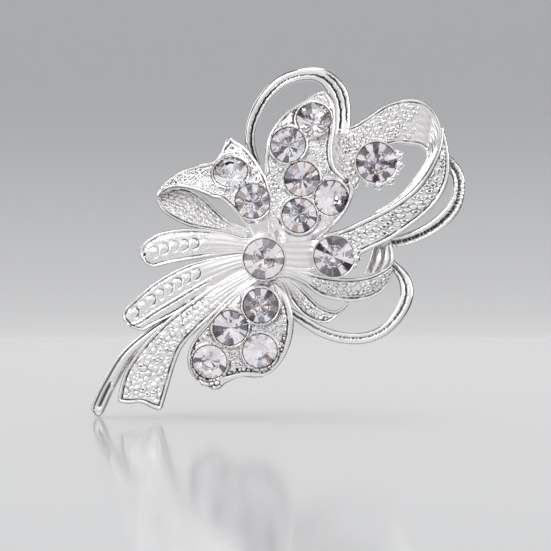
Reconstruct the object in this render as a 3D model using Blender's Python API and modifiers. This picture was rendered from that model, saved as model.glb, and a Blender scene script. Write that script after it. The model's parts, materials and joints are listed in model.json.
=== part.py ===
"""A bow and petal brooch with a hinged pin and a rotating safety catch, in metres.

The front faces -Y and +Z is up as worn. The origin is the middle of the back bar's rear face, which lies
straight behind the centre stone.
"""

import math

import bmesh
import bpy
from mathutils import Matrix, Vector

MM = 0.001
CLEARANCE = 0.05  # soldered joints, mm
SMOOTH_ANGLE = math.radians(35)
FLAT_ANGLE = math.radians(0.5)

# Ribbons, in mm. Each station holds x, z and the height in front of the bar for one edge, then the other.
TAIL_UPPER = (
    (-2.4, 0.9, 3.2, -1.8, 2.6, 3.4),
    (-5.8, 0.4, 3.2, -5.2, 3.5, 3.3),
    (-9.2, -0.1, 3.0, -9.2, 3.9, 3.0),
    (-12.0, -0.6, 2.7, -12.8, 3.4, 2.6),
    (-13.8, -1.0, 2.3, -15.0, 2.0, 2.2),
    (-14.2, -1.1, 2.2, -15.4, 0.8, 2.1),
)
TAIL_MIDDLE = (
    (-2.4, -1.1, 3.3, -2.6, 0.7, 3.1),
    (-5.5, -3.0, 3.0, -5.8, 0.1, 3.0),
    (-8.0, -4.8, 2.6, -9.1, -0.5, 2.8),
    (-10.8, -6.7, 2.1, -12.5, -2.1, 2.4),
    (-13.5, -8.1, 1.8, -15.5, -4.2, 2.0),
    (-15.3, -8.7, 1.5, -17.6, -6.5, 1.5),
)
TAIL_LONG = (
    (-1.2, -3.2, 3.4, -2.3, -1.4, 3.5),
    (-3.7, -4.8, 3.5, -5.5, -2.9, 3.4),
    (-6.0, -6.8, 3.5, -8.2, -4.6, 3.1),
    (-8.3, -8.9, 3.3, -11.0, -6.6, 2.7),
    (-10.2, -11.0, 2.8, -13.7, -9.1, 2.3),
    (-11.2, -13.2, 2.4, -16.2, -12.0, 2.0),
    (-11.9, -15.4, 2.1, -17.5, -14.6, 1.8),
    (-12.9, -18.9, 2.0, -18.1, -17.5, 1.7),
)
STEM = (
    (-1.6, -2.8, 1.9, -2.6, -1.8, 1.9),
    (-7.4, -5.6, 1.5, -8.2, -4.6, 1.5),
    (-12.6, -9.2, 1.0, -13.5, -8.0, 1.0),
    (-16.6, -12.5, 0.9, -17.9, -11.6, 0.9),
    (-18.8, -16.0, 0.9, -20.4, -15.4, 0.9),
    (-20.1, -19.0, 0.9, -21.8, -18.7, 0.9),
    (-20.6, -19.9, 0.8, -21.4, -19.8, 0.8),
)
PETAL_LOWER = (
    (1.0, -3.0, 4.0, -1.0, -3.1, 4.0),
    (2.4, -3.6, 4.4, -2.6, -3.8, 4.6),
    (3.2, -5.2, 4.6, -4.8, -5.6, 4.8),
    (3.7, -7.5, 4.6, -7.0, -8.0, 4.7),
    (3.4, -9.9, 4.2, -8.8, -10.2, 4.2),
    (2.5, -12.1, 3.7, -9.6, -12.2, 3.6),
    (1.2, -13.8, 3.4, -9.2, -14.0, 3.2),
    (0.0, -14.8, 3.2, -7.9, -15.9, 3.0),
)
PETAL_UPPER = (
    (2.4, 2.8, 4.2, 7.2, 2.7, 4.0),
    (1.6, 4.4, 5.0, 9.5, 4.9, 4.2),
    (1.4, 6.6, 5.5, 10.9, 7.2, 4.0),
    (1.2, 8.8, 5.7, 11.4, 9.2, 4.1),
    (0.4, 11.2, 5.7, 9.0, 11.2, 5.2),
    (0.2, 13.6, 5.6, 8.5, 13.5, 5.5),
    (0.9, 15.9, 5.3, 8.8, 16.0, 5.4),
    (2.5, 18.0, 4.9, 8.9, 18.2, 5.0),
    (4.9, 19.6, 4.5, 8.6, 19.9, 4.6),
    (6.9, 20.9, 4.1, 7.7, 20.9, 4.1),
)
LOOP_LEFT = (
    (-1.9, 3.5, 3.9, 0.8, 2.9, 4.1),
    (-3.0, 5.1, 4.5, 1.0, 5.0, 4.8),
    (-4.2, 6.4, 4.9, 1.1, 7.5, 5.0),
    (-5.4, 7.4, 5.1, 0.2, 10.5, 4.4),
    (-6.4, 7.9, 5.1, -1.9, 13.6, 2.9),
    (-7.2, 8.3, 5.0, -4.3, 15.2, 1.8),
    (-8.1, 8.7, 4.9, -6.0, 12.8, 2.2),
    (-9.5, 9.0, 4.8, -8.0, 11.9, 2.6),
    (-10.9, 9.0, 4.7, -10.2, 11.1, 2.6),
    (-12.0, 8.8, 4.6, -12.0, 9.8, 2.2),
    (-12.8, 8.3, 4.3, -12.8, 9.0, 1.9),
    (-13.2, 7.8, 4.0, -13.4, 8.1, 3.0),
)
LOOP_LEFT_UNDER = (
    (-13.4, 7.5, 3.4, -12.9, 8.4, 1.3),
    (-12.8, 6.1, 3.2, -11.6, 9.0, 1.3),
    (-11.1, 4.9, 3.0, -9.6, 9.0, 1.3),
    (-9.2, 4.1, 2.7, -7.6, 7.8, 1.4),
    (-7.1, 3.7, 2.4, -6.0, 6.2, 1.6),
    (-4.9, 3.4, 2.2, -4.2, 4.7, 1.8),
    (-2.8, 2.9, 2.1, -2.2, 3.9, 2.0),
)
LOOP_RIGHT_UPPER = (
    (8.0, 9.6, 2.7, 8.2, 16.2, 3.9),
    (10.0, 10.6, 2.9, 10.0, 16.4, 4.0),
    (11.4, 11.8, 3.0, 11.4, 16.8, 4.1),
    (13.2, 13.1, 3.2, 13.2, 17.9, 4.3),
    (15.0, 14.0, 3.3, 15.2, 19.2, 4.5),
    (16.6, 14.5, 3.3, 17.2, 19.8, 4.7),
    (18.4, 14.4, 3.3, 19.0, 19.8, 4.8),
    (19.6, 14.2, 3.2, 20.6, 18.9, 5.0),
    (20.3, 13.6, 3.3, 21.5, 16.8, 5.2),
    (20.2, 12.6, 3.5, 21.5, 14.6, 5.3),
    (19.4, 11.3, 3.7, 20.8, 12.8, 5.2),
    (18.3, 9.8, 3.8, 19.5, 10.7, 5.0),
    (16.8, 7.9, 4.0, 17.6, 8.2, 4.6),
)
LOOP_RIGHT_LOWER = (
    (22.2, 16.2, 4.2, 22.4, 16.2, 3.9),
    (22.1, 14.4, 4.4, 23.0, 14.4, 3.6),
    (21.6, 12.6, 4.5, 23.3, 12.1, 3.4),
    (20.4, 10.6, 4.5, 23.1, 9.8, 3.3),
    (18.9, 8.6, 4.4, 22.1, 7.6, 3.3),
    (16.9, 7.1, 4.2, 20.5, 5.8, 3.3),
    (15.1, 6.2, 4.0, 18.4, 4.1, 3.3),
    (12.8, 5.1, 3.6, 15.9, 2.4, 3.2),
    (10.2, 3.9, 3.2, 13.2, 1.1, 3.0),
    (7.0, 3.1, 3.0, 9.9, -0.6, 2.9),
    (4.0, 3.3, 3.0, 6.0, -1.6, 3.0),
    (0.8, 3.4, 3.1, 2.9, -1.3, 3.1),
)
BAND_FRONT = (
    (3.1, -1.1, 3.2, 2.8, -2.0, 3.0),
    (5.5, -1.6, 3.2, 4.9, -3.1, 2.7),
    (8.2, -2.2, 3.3, 7.2, -4.7, 2.5),
    (11.0, -2.4, 3.4, 9.9, -5.3, 2.4),
    (13.2, -2.1, 3.5, 12.4, -5.2, 2.4),
    (15.0, -1.3, 3.6, 14.4, -4.4, 2.5),
    (15.8, -0.7, 3.6, 15.5, -3.2, 2.7),
    (16.1, -0.6, 3.5, 15.9, -1.9, 3.0),
)
BAND_BACK = (
    (12.8, -1.6, 1.2, 15.4, -1.4, 2.3),
    (13.4, -0.2, 1.1, 16.1, -0.4, 2.4),
    (13.8, 1.1, 1.0, 16.2, 0.9, 2.3),
    (14.1, 2.4, 1.0, 15.9, 2.2, 2.1),
)
CURL = (
    (3.1, -2.4, 2.6, 2.3, -2.9, 2.5),
    (4.9, -3.9, 2.6, 3.2, -4.5, 2.3),
    (6.4, -5.4, 2.7, 4.5, -6.4, 2.1),
    (7.8, -6.2, 2.7, 6.2, -7.6, 2.1),
    (9.1, -6.6, 2.7, 8.2, -7.9, 2.2),
    (10.0, -6.2, 2.5, 9.6, -7.2, 2.0),
    (10.6, -5.5, 2.2, 10.5, -6.1, 1.8),
)
WIRE_TOP = (
    (-1.4, 12.2, 1.2, -0.3, 11.9, 1.4),
    (-2.3, 14.1, 1.5, -1.0, 13.9, 1.7),
    (-2.3, 16.1, 2.0, -1.1, 16.0, 2.2),
    (-1.7, 18.6, 2.5, -0.4, 18.0, 2.7),
    (-0.3, 20.9, 2.9, 0.8, 20.0, 3.1),
    (1.5, 22.7, 3.2, 2.4, 21.6, 3.4),
    (3.6, 23.7, 3.4, 4.1, 22.4, 3.6),
    (5.8, 24.0, 3.5, 5.8, 22.6, 3.7),
    (7.6, 23.8, 3.5, 7.0, 22.3, 3.7),
    (9.3, 22.8, 3.4, 7.9, 21.5, 3.6),
    (10.5, 21.1, 3.3, 8.9, 20.2, 3.5),
    (10.9, 19.1, 3.2, 9.3, 18.8, 3.4),
    (10.9, 17.2, 3.1, 9.3, 17.1, 3.3),
    (10.5, 15.8, 3.0, 9.0, 15.8, 3.1),
)
WIRE_RIGHT = (
    (22.9, 13.5, 1.8, 22.0, 12.8, 1.9),
    (24.2, 12.4, 2.1, 23.2, 11.6, 2.3),
    (25.1, 10.9, 2.4, 23.9, 10.4, 2.7),
    (25.3, 8.9, 2.6, 24.0, 8.8, 2.9),
    (24.9, 6.7, 2.6, 23.5, 7.1, 2.9),
    (23.8, 4.9, 2.5, 22.3, 5.6, 2.8),
    (22.0, 3.4, 2.3, 20.7, 4.3, 2.6),
    (19.5, 2.1, 2.0, 18.5, 3.3, 2.2),
    (17.0, 1.5, 1.7, 16.5, 2.7, 1.8),
    (15.2, 1.8, 1.5, 15.0, 2.9, 1.6),
)
WIRE_LOW = (
    (2.6, -5.6, 1.9, 2.2, -6.8, 1.7),
    (5.5, -7.4, 2.1, 5.0, -8.6, 1.9),
    (7.6, -8.5, 2.3, 7.0, -9.8, 2.1),
    (9.9, -9.2, 2.5, 9.6, -10.6, 2.3),
    (12.2, -9.3, 2.6, 12.5, -10.7, 2.4),
    (14.4, -8.6, 2.6, 15.1, -9.8, 2.4),
    (16.0, -7.1, 2.5, 17.1, -8.1, 2.3),
    (17.0, -5.2, 2.4, 18.5, -5.9, 2.2),
    (17.2, -3.6, 2.2, 18.9, -3.8, 2.0),
    (16.7, -2.1, 1.8, 18.2, -1.8, 1.6),
    (15.6, -0.9, 1.2, 16.8, -0.4, 1.0),
    (14.5, 0.1, 0.9, 15.5, 1.0, 0.8),
)

# Name, stations, depth behind the front and crown in mm, and columns across, from the front backwards.
RIBBONS = (
    ("petal_upper", PETAL_UPPER, 1.2, 0.5, 4),
    ("petal_lower", PETAL_LOWER, 1.2, 0.5, 4),
    ("loop_left", LOOP_LEFT, 1.1, 0.0, 2),
    ("loop_left_under", LOOP_LEFT_UNDER, 1.0, 0.0, 2),
    ("loop_right_upper", LOOP_RIGHT_UPPER, 1.1, 0.0, 2),
    ("loop_right_lower", LOOP_RIGHT_LOWER, 1.1, 0.0, 2),
    ("tail_long", TAIL_LONG, 1.1, 0.1, 2),
    ("tail_middle", TAIL_MIDDLE, 1.1, 0.2, 2),
    ("tail_upper", TAIL_UPPER, 1.1, 0.3, 2),
    ("band_front", BAND_FRONT, 1.1, 0.2, 2),
    ("curl", CURL, 0.9, 0.1, 2),
    ("wire_top", WIRE_TOP, 1.2, 0.2, 2),
    ("wire_low", WIRE_LOW, 1.1, 0.2, 2),
    ("band_back", BAND_BACK, 0.9, 0.0, 2),
    ("wire_right", WIRE_RIGHT, 1.1, 0.2, 2),
    ("stem", STEM, 0.9, 0.5, 4),
)
ROWS_PER_STATION = 2

# Stones and their seats, in mm. A stone's ratios are to its radius at the girdle.
SMALL_STONE = 2.15
LARGE_STONE = 2.5
CROWN_RATIO = 0.34
TABLE_RATIO = 0.56
PAVILION_RATIO = 0.88
GIRDLE = 0.12
STONE_SIDES = 16
SEAT_GAP = 0.05
COLLAR = 0.4
COLLAR_RISE = 0.1
SEAT_FLOOR = 0.4
STONE_LIFT = 0.15
BOSS_SIDES = 18
SEAT_CUT = 3.0  # how far a seat's cutter stands out in front of the stone

# Name, the ribbon that holds it, x, z, lean to the right and lean upwards in degrees.
SET_STONES = (
    ("stone_01", "loop_left", -4.2, 10.9, -8.0, 30.0),
    ("stone_02", "loop_left", -1.4, 7.2, 0.0, 6.0),
    ("stone_03", "petal_upper", 3.0, 14.1, -6.0, 4.0),
    ("stone_04", "petal_upper", 6.2, 17.4, 0.0, 22.0),
    ("stone_05", "petal_upper", 4.7, 9.9, -4.0, 0.0),
    ("stone_06", "petal_upper", 4.4, 5.4, 0.0, -8.0),
    ("stone_07", "petal_upper", 8.4, 7.6, 16.0, -6.0),
    ("stone_08", "petal_lower", -0.4, -5.8, 4.0, 4.0),
    ("stone_09", "petal_lower", -4.2, -8.6, -4.0, 0.0),
    ("stone_10", "petal_lower", -0.5, -11.5, 6.0, -6.0),
    ("stone_11", "petal_lower", -6.8, -12.9, -4.0, -8.0),
)
# Name of the stone, name of its claw cup, x, z, girdle height and foot height.
CUPS = (
    ("stone_centre", "cup_centre", 0.0, 0.0, 6.4, 3.4),
    ("stone_right", "cup_right", 8.7, 0.3, 5.6, 1.6),
    ("stone_top", "cup_top", 14.0, 12.0, 5.4, 1.6),
)
CUP_WALL = 0.4
CUP_SIDE = 1.2  # from the girdle down to where the cup starts to narrow
CUP_FOOT = 2.0
CUP_FOOT_HEIGHT = 0.6
SEAT_SHOULDER = 0.5
SEAT_FLOOR_RATIO = 0.45
CLAWS = 6
CLAW_RADIUS = 0.28
CLAW_RISE = 0.55
CLAW_FALL = 1.0
CLAW_GAP = 0.02
CLAW_START = 0.37  # the first claw's place, as a share of the space between two
CLAW_SIDES = 8
HUB_RADIUS = 3.1
HUB_TOP = 3.35
HUB_CHAMFER = 0.4

# Pin fitting, in mm, in its own frame: X along the bar towards the hinge, Y rearwards, Z across the bar.
FITTING_ANGLE = math.radians(38.5)
BAR_LENGTH = 24.0
BAR_WIDTH = 3.8
BAR_THICKNESS = 0.8
PAD_LENGTH = 9.0
PAD_WIDTH = 3.2
PAD_RISE = 0.1
BAR_BITE = 0.2  # how deep the pad and the posts start inside the bar
POST_X = 8.6
POST_RADIUS = 0.9
POST_HEIGHT = 5.0
POST_SIDES = 12
PIN_AXIS = 3.5
PIN_RADIUS = 0.45
PIN_POINT = 2.2
PIN_TIP = 0.08
PIN_ROOT = 0.3
PIN_SIDES = 12
HINGE_X = 11.0
EYE_RADIUS = 0.95
EYE_WIDTH = 1.2
EYE_BORE = 0.45
FORK_GAP = 1.3
EAR_THICKNESS = 0.6
EAR_HALF = 1.1
EAR_BORE = 0.43
EAR_BITE = 0.2
FORK_BASE = 0.4
FORK_STEP = 0.3  # how far the base reaches past the ears
RIVET_RADIUS = 0.4
RIVET_PLAY = 0.03
RIVET_HEAD = 0.72
RIVET_HEAD_FLAT = 0.504
RIVET_HEAD_THICKNESS = 0.3
RIVET_SIDES = 16
CATCH_X = -10.9
PIN_OVERHANG = 2.0
HOUSING_OUTER = 1.85
HOUSING_BORE = 1.3
HOUSING_LENGTH = 1.5
HOUSING_MOUTH = 1.5
HOUSING_FOOT = 2.0
HOUSING_STEP = 0.1  # how far the foot is set in, and how far it runs into the ring
ROLLER_OUTER = 1.24
ROLLER_BORE = 0.64
ROLLER_LENGTH = 2.6
ROLLER_FLANGE = 1.55
ROLLER_SLOT = 1.16
LEVER_REACH = 2.4
LEVER_INSET = 0.05
LEVER_THICKNESS = 0.8
LEVER_ANGLE = math.radians(75)
ROUND_SIDES = 24
CUT_PAST = 0.5  # how far a cutter runs past the surface it opens, mm
MERGE_WITHIN = 1e-7


def clear_scene():
    for obj in list(bpy.data.objects):
        bpy.data.objects.remove(obj, do_unlink=True)


def collection(name, hidden):
    made = bpy.data.collections.new(name)
    made.hide_render = hidden
    bpy.context.scene.collection.children.link(made)
    return made


def material(name, colour, metallic, roughness, transmission=0.0):
    made = bpy.data.materials.new(name)
    made.use_nodes = True
    shader = made.node_tree.nodes["Principled BSDF"]
    shader.inputs["Base Color"].default_value = (*colour, 1.0)
    shader.inputs["Metallic"].default_value = metallic
    shader.inputs["Roughness"].default_value = roughness
    shader.inputs["Transmission Weight"].default_value = transmission
    return made


def silver(name):
    return material(name, (0.93, 0.93, 0.95), 1.0, 0.16)


def steel(name):
    return material(name, (0.72, 0.73, 0.75), 1.0, 0.22)


def crystal(name):
    return material(name, (0.95, 0.96, 1.0), 0.0, 0.02, 0.6)


def spline(p, q, r, s, t):
    """A Catmull-Rom curve from q to r at the share t."""
    square = 2 * p - 5 * q + 4 * r - s
    cube = 3 * q - p - 3 * r + s
    return 0.5 * (2 * q + (r - p) * t + square * t**2 + cube * t**3)


def spline_rows(stations):
    """Rows through the stations, evenly spaced between each two."""
    ends = (stations[0], *stations, stations[-1])
    rows = []
    for span in zip(ends, ends[1:], ends[2:], ends[3:]):
        for step in range(ROWS_PER_STATION):
            rows.append(tuple(spline(*values, step / ROWS_PER_STATION) for values in zip(*span)))
    rows.append(stations[-1])
    return rows


def at(x, z, height):
    """The place at this height in front of the plane where the ornament meets the back bar."""
    return Vector((x, -height - BAR_THICKNESS - PAD_RISE, z)) * MM


def solid(name, bm, owner):
    """An object holding the closed mesh, with its faces turned outwards."""
    bmesh.ops.recalc_face_normals(bm, faces=bm.faces)
    bmesh.ops.triangulate(bm, faces=bm.faces)
    data = bpy.data.meshes.new(name)
    bm.to_mesh(data)
    bm.free()
    obj = bpy.data.objects.new(name, data)
    owner.objects.link(obj)
    return obj


def edges_of(row, grow):
    """The two edges of a row as x, z, height, moved apart by grow."""
    near = Vector(row[:3])
    far = Vector(row[3:])
    outwards = Vector((far.x - near.x, far.y - near.y, 0.0)).normalized() * grow
    return near - outwards, far + outwards


def stretched(rows, grow):
    """The rows with the first and last moved out along the ribbon by grow."""
    made = list(rows)
    for end, inner in ((0, 1), (-1, -2)):
        step = Vector(
            (
                rows[end][0] + rows[end][3] - rows[inner][0] - rows[inner][3],
                rows[end][1] + rows[end][4] - rows[inner][1] - rows[inner][4],
            )
        ).normalized() * grow
        x1, z1, h1, x2, z2, h2 = rows[end]
        made[end] = (x1 + step.x, z1 + step.y, h1, x2 + step.x, z2 + step.y, h2)
    return made


def ribbon(name, owner, stations, depth, crown, columns, grow=0.0):
    """A band cast straight back from its front surface, so that its walls run front to back."""
    bm = bmesh.new()
    fronts = []
    backs = []
    for row in stretched(spline_rows(stations), grow):
        near, far = edges_of(row, grow)
        front = []
        for column in range(columns + 1):
            share = column / columns
            point = near.lerp(far, share)
            rise = crown * (1 - (2 * share - 1) ** 2) + grow
            front.append(bm.verts.new(at(point.x, point.y, point.z + rise)))
        fronts.append(front)
        backs.append([bm.verts.new(at(p.x, p.y, p.z - depth - grow)) for p in (near, far)])
    for front, front_next, back, back_next in zip(fronts, fronts[1:], backs, backs[1:]):
        for column in range(columns):
            bm.faces.new((front[column], front[column + 1], front_next[column + 1], front_next[column]))
        bm.faces.new((back[0], back_next[0], back_next[1], back[1]))
        bm.faces.new((front[0], front_next[0], back_next[0], back[0]))
        bm.faces.new((front[-1], back[1], back_next[1], front_next[-1]))
    for front, back in ((fronts[0], backs[0]), (fronts[-1], backs[-1])):
        bm.faces.new((*front, back[1], back[0]))
    return solid(name, bm, owner)


def front_height(stations, crown, x, z):
    """The height of a ribbon's front surface at x, z."""
    best = None
    for row in spline_rows(stations):
        near, far = edges_of(row, 0.0)
        across = Vector((far.x - near.x, far.y - near.y))
        share = (Vector((x, z)) - near.to_2d()).dot(across) / across.length_squared
        share = min(max(share, 0.0), 1.0)
        point = near.lerp(far, share)
        away = (point.to_2d() - Vector((x, z))).length
        height = point.z + crown * (1 - (2 * share - 1) ** 2)
        if best is None or away < best[0]:
            best = (away, height)
    return best[1]


def turned(name, owner, profile, sides, ring=False):
    """A solid of revolution about its own Z, from radius and z in mm, listed from the top down."""
    data = bpy.data.meshes.new(name)
    points = [(radius * MM, 0.0, z * MM) for radius, z in profile]
    edges = [(i, i + 1) for i in range(len(points) - 1)]
    if ring:
        edges.append((len(points) - 1, 0))
    data.from_pydata(points, edges, [])
    obj = bpy.data.objects.new(name, data)
    owner.objects.link(obj)
    screw = obj.modifiers.new("turn", "SCREW")
    screw.steps = sides
    screw.render_steps = sides
    screw.use_merge_vertices = True
    screw.merge_threshold = MERGE_WITHIN
    screw.use_normal_calculate = True
    settle(obj)
    return obj


def block(name, owner, low, high):
    """A box between two corners, in mm."""
    bm = bmesh.new()
    size = [(b - a) * MM for a, b in zip(low, high)]
    middle = [(a + b) / 2 * MM for a, b in zip(low, high)]
    bmesh.ops.create_cube(bm, size=1.0, matrix=Matrix.Translation(middle) @ Matrix.Diagonal((*size, 1.0)))
    return solid(name, bm, owner)


def cylinder(name, owner, radius, length, place, sides=ROUND_SIDES):
    """A cylinder of this radius and length in mm about the local Z of place."""
    bm = bmesh.new()
    bmesh.ops.create_cone(
        bm,
        cap_ends=True,
        segments=sides,
        radius1=radius * MM,
        radius2=radius * MM,
        depth=length * MM,
        matrix=place,
    )
    return solid(name, bm, owner)


def settle(obj):
    """Fixes the modifiers' result as the object's mesh, and drops any crumb that a cut left loose."""
    bpy.context.view_layer.update()
    graph = bpy.context.evaluated_depsgraph_get()
    made = bpy.data.meshes.new_from_object(obj.evaluated_get(graph))
    old = obj.data
    obj.modifiers.clear()
    obj.data = made
    made.name = obj.name
    bpy.data.meshes.remove(old)
    keep_largest(made)


def islands_of(bm):
    """The mesh's vertices, in sets that hang together."""
    left = set(bm.verts)
    found = []
    while left:
        island = set()
        edge = [left.pop()]
        while edge:
            vert = edge.pop()
            island.add(vert)
            near = {link.other_vert(vert) for link in vert.link_edges} & left
            left -= near
            edge.extend(near)
        found.append(island)
    return found


def keep_largest(data):
    """Leaves only the mesh's largest island, with its flat faces joined and its normals outwards."""
    bm = bmesh.new()
    bm.from_mesh(data)
    found = sorted(islands_of(bm), key=len)
    crumbs = [vert for island in found[:-1] for vert in island]
    bmesh.ops.delete(bm, geom=crumbs, context="VERTS")
    bmesh.ops.recalc_face_normals(bm, faces=bm.faces)
    bmesh.ops.dissolve_limit(bm, angle_limit=FLAT_ANGLE, verts=bm.verts, edges=bm.edges)
    bmesh.ops.triangulate(bm, faces=bm.faces)
    bm.to_mesh(data)
    bm.free()


def boolean(obj, others, operation):
    """Applies the operation with all of the others, then removes them."""
    for other in others:
        made = obj.modifiers.new(operation.lower(), "BOOLEAN")
        made.operation = operation
        made.object = other
        made.solver = "EXACT"
    if others:
        settle(obj)
    for other in others:
        bpy.data.objects.remove(other, do_unlink=True)


def boxes_meet(first, second):
    """True when the world boxes of two unparented objects overlap."""
    spans = []
    for obj in (first, second):
        corners = [obj.matrix_world @ Vector(corner) for corner in obj.bound_box]
        spans.append([(min(c[i] for c in corners), max(c[i] for c in corners)) for i in range(3)])
    return all(a[0] < b[1] and b[0] < a[1] for a, b in zip(*spans))


def clear_of(obj, makers, cutters):
    """Cuts the makers' slightly larger copies out of the object, which leaves the joint's clearance."""
    others = [maker(cutters, CLEARANCE) for maker in makers]
    bpy.context.view_layer.update()
    near = [other for other in others if boxes_meet(obj, other)]
    for other in set(others) - set(near):
        bpy.data.objects.remove(other, do_unlink=True)
    boolean(obj, near, "DIFFERENCE")


def stone_place(x, z, height, right=0.0, up=0.0):
    """The matrix that stands a turned shape at x, z, height with its local Z out of the brooch's front."""
    lean = Matrix.Rotation(math.radians(right), 4, "Z") @ Matrix.Rotation(math.radians(90 - up), 4, "X")
    return Matrix.Translation(at(x, z, height)) @ lean


def stone(name, owner, radius, place):
    """A round stone with a flat table and a pointed back, and its girdle at its origin."""
    obj = turned(
        name,
        owner,
        (
            (0.0, CROWN_RATIO * radius),
            (TABLE_RATIO * radius, CROWN_RATIO * radius),
            (radius, GIRDLE / 2),
            (radius, -GIRDLE / 2),
            (0.0, -PAVILION_RATIO * radius),
        ),
        STONE_SIDES,
    )
    obj.matrix_world = place
    obj.data.materials.append(crystal(name))
    return obj


def seat(owner, radius, place):
    """The pocket that a stone drops into, open at the front."""
    depth = PAVILION_RATIO * radius + SEAT_GAP
    height = depth + SEAT_CUT
    centre = place @ Matrix.Translation((0.0, 0.0, (height / 2 - depth) * MM))
    return cylinder("seat", owner, radius + SEAT_GAP, height, centre, BOSS_SIDES)


def boss(owner, radius, place):
    """The cup behind a stone, whose rim stands a little over the ribbon."""
    depth = PAVILION_RATIO * radius + SEAT_GAP + SEAT_FLOOR
    height = depth + COLLAR_RISE
    centre = place @ Matrix.Translation((0.0, 0.0, (COLLAR_RISE - height / 2) * MM))
    return cylinder("boss", owner, radius + COLLAR, height, centre, BOSS_SIDES)


def places_on(ribbon_name, stations, crown):
    """The places of the stones set in this ribbon, by name."""
    found = {}
    for name, holder, x, z, right, up in SET_STONES:
        if holder == ribbon_name:
            height = front_height(stations, crown, x, z) + STONE_LIFT
            found[name] = stone_place(x, z, height, right, up)
    return found


def cup(name, owner, x, z, girdle, foot, grow=0.0):
    """A claw cup standing on its foot, with a pocket for a large stone."""
    rim = LARGE_STONE + SEAT_GAP + CUP_WALL + grow
    pocket = LARGE_STONE + SEAT_GAP
    floor = -PAVILION_RATIO * LARGE_STONE - SEAT_GAP
    height = girdle - foot + grow
    shell = (
        (0.0, floor),
        (pocket * SEAT_FLOOR_RATIO, floor),
        (pocket, -SEAT_SHOULDER),
        (pocket, GIRDLE / 2),
        (rim, GIRDLE / 2),
        (rim, -CUP_SIDE),
        (CUP_FOOT + grow, -height + CUP_FOOT_HEIGHT),
        (CUP_FOOT + grow, -height),
        (0.0, -height),
    )
    filled = ((0.0, GIRDLE), (rim, GIRDLE), *shell[5:])
    obj = turned(name, owner, filled if grow else shell, ROUND_SIDES)
    if not grow:
        boolean(obj, [claw(owner, index, pocket) for index in range(CLAWS)], "UNION")
    obj.matrix_world = stone_place(x, z, girdle)
    return obj


def claw(owner, index, pocket):
    """One of the cup's upright claws, which stand over the stone's girdle."""
    turn = Matrix.Rotation(2 * math.pi * (index + CLAW_START) / CLAWS, 4, "Z")
    out = pocket + CLAW_RADIUS + CLAW_GAP
    length = CLAW_RISE + CLAW_FALL
    shift = Matrix.Translation((out * MM, 0.0, (CLAW_RISE - length / 2) * MM))
    return cylinder("claw", owner, CLAW_RADIUS, length, turn @ shift, CLAW_SIDES)


def hub(owner, grow=0.0):
    """The round block in the middle of the bow, with the centre cup on top."""
    side = HUB_RADIUS + grow
    flat = side - HUB_CHAMFER
    obj = turned(
        "hub",
        owner,
        (
            (0.0, HUB_TOP + grow),
            (flat, HUB_TOP + grow),
            (side, HUB_TOP - HUB_CHAMFER),
            (side, HUB_CHAMFER),
            (flat, CLEARANCE - grow),
            (0.0, CLEARANCE - grow),
        ),
        ROUND_SIDES,
    )
    obj.matrix_world = stone_place(0.0, 0.0, 0.0)
    return obj


def fitting_frame(owner):
    """The pin fitting's own frame, on the plane where the ornament meets the bar."""
    frame = bpy.data.objects.new("fitting_frame", None)
    frame.location = at(0.0, 0.0, 0.0)
    frame.rotation_euler = (0.0, -FITTING_ANGLE, 0.0)
    owner.objects.link(frame)
    bpy.context.view_layer.update()
    return frame


def to_frame(obj, frame, x=0.0, y=0.0):
    """Stands the object in the fitting's frame with its origin at x, y in mm."""
    obj.parent = frame
    obj.location = (x * MM, y * MM, 0.0)


def along_y(x, y):
    """The place at x, y in mm that turns a cylinder's axis to Y."""
    return Matrix.Translation((x * MM, y * MM, 0.0)) @ Matrix.Rotation(math.pi / 2, 4, "X")


def back_bar(owner):
    """The bar soldered behind the ornament, with rounded ends, a pad for the cloth and two posts."""
    half = BAR_WIDTH / 2
    straight = BAR_LENGTH / 2 - half
    pad_back = BAR_THICKNESS + PAD_RISE
    obj = block("back_bar", owner, (-straight, 0.0, -half), (straight, BAR_THICKNESS, half))
    pad_x = PAD_LENGTH / 2
    pad_z = PAD_WIDTH / 2
    pad = block("pad", owner, (-pad_x, BAR_BITE, -pad_z), (pad_x, pad_back, pad_z))
    added = [pad]
    for side in (-1, 1):
        end_place = along_y(side * straight, BAR_THICKNESS / 2)
        added.append(cylinder("end", owner, half, BAR_THICKNESS, end_place))
        post_place = along_y(side * POST_X, BAR_BITE - POST_HEIGHT / 2)
        added.append(cylinder("post", owner, POST_RADIUS, POST_HEIGHT, post_place, POST_SIDES))
    boolean(obj, added, "UNION")
    return obj


def hinge_fork(owner):
    """The two bored ears on a base, with its origin on the rivet's axis."""
    foot = BAR_THICKNESS + CLEARANCE - PIN_AXIS
    outer = FORK_GAP / 2 + EAR_THICKNESS
    base = EAR_HALF + FORK_STEP
    obj = block("hinge_fork", owner, (-base, foot, -outer), (base, foot + FORK_BASE, outer))
    parts = []
    for side in (-1, 1):
        middle = side * (FORK_GAP + EAR_THICKNESS) / 2
        low = middle - EAR_THICKNESS / 2
        high = middle + EAR_THICKNESS / 2
        parts.append(block("ear", owner, (-EAR_HALF, foot + EAR_BITE, low), (EAR_HALF, 0.0, high)))
        top_place = Matrix.Translation((0.0, 0.0, middle * MM))
        parts.append(cylinder("ear_top", owner, EAR_HALF, EAR_THICKNESS, top_place))
    boolean(obj, parts, "UNION")
    bore(obj, owner, EAR_BORE, 2 * outer)
    return obj


def bore(obj, owner, radius, length):
    """Drills along the object's own Z, through this length."""
    drill = cylinder("bore", owner, radius, length + 2 * CUT_PAST, Matrix.Identity(4))
    boolean(obj, [drill], "DIFFERENCE")


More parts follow.
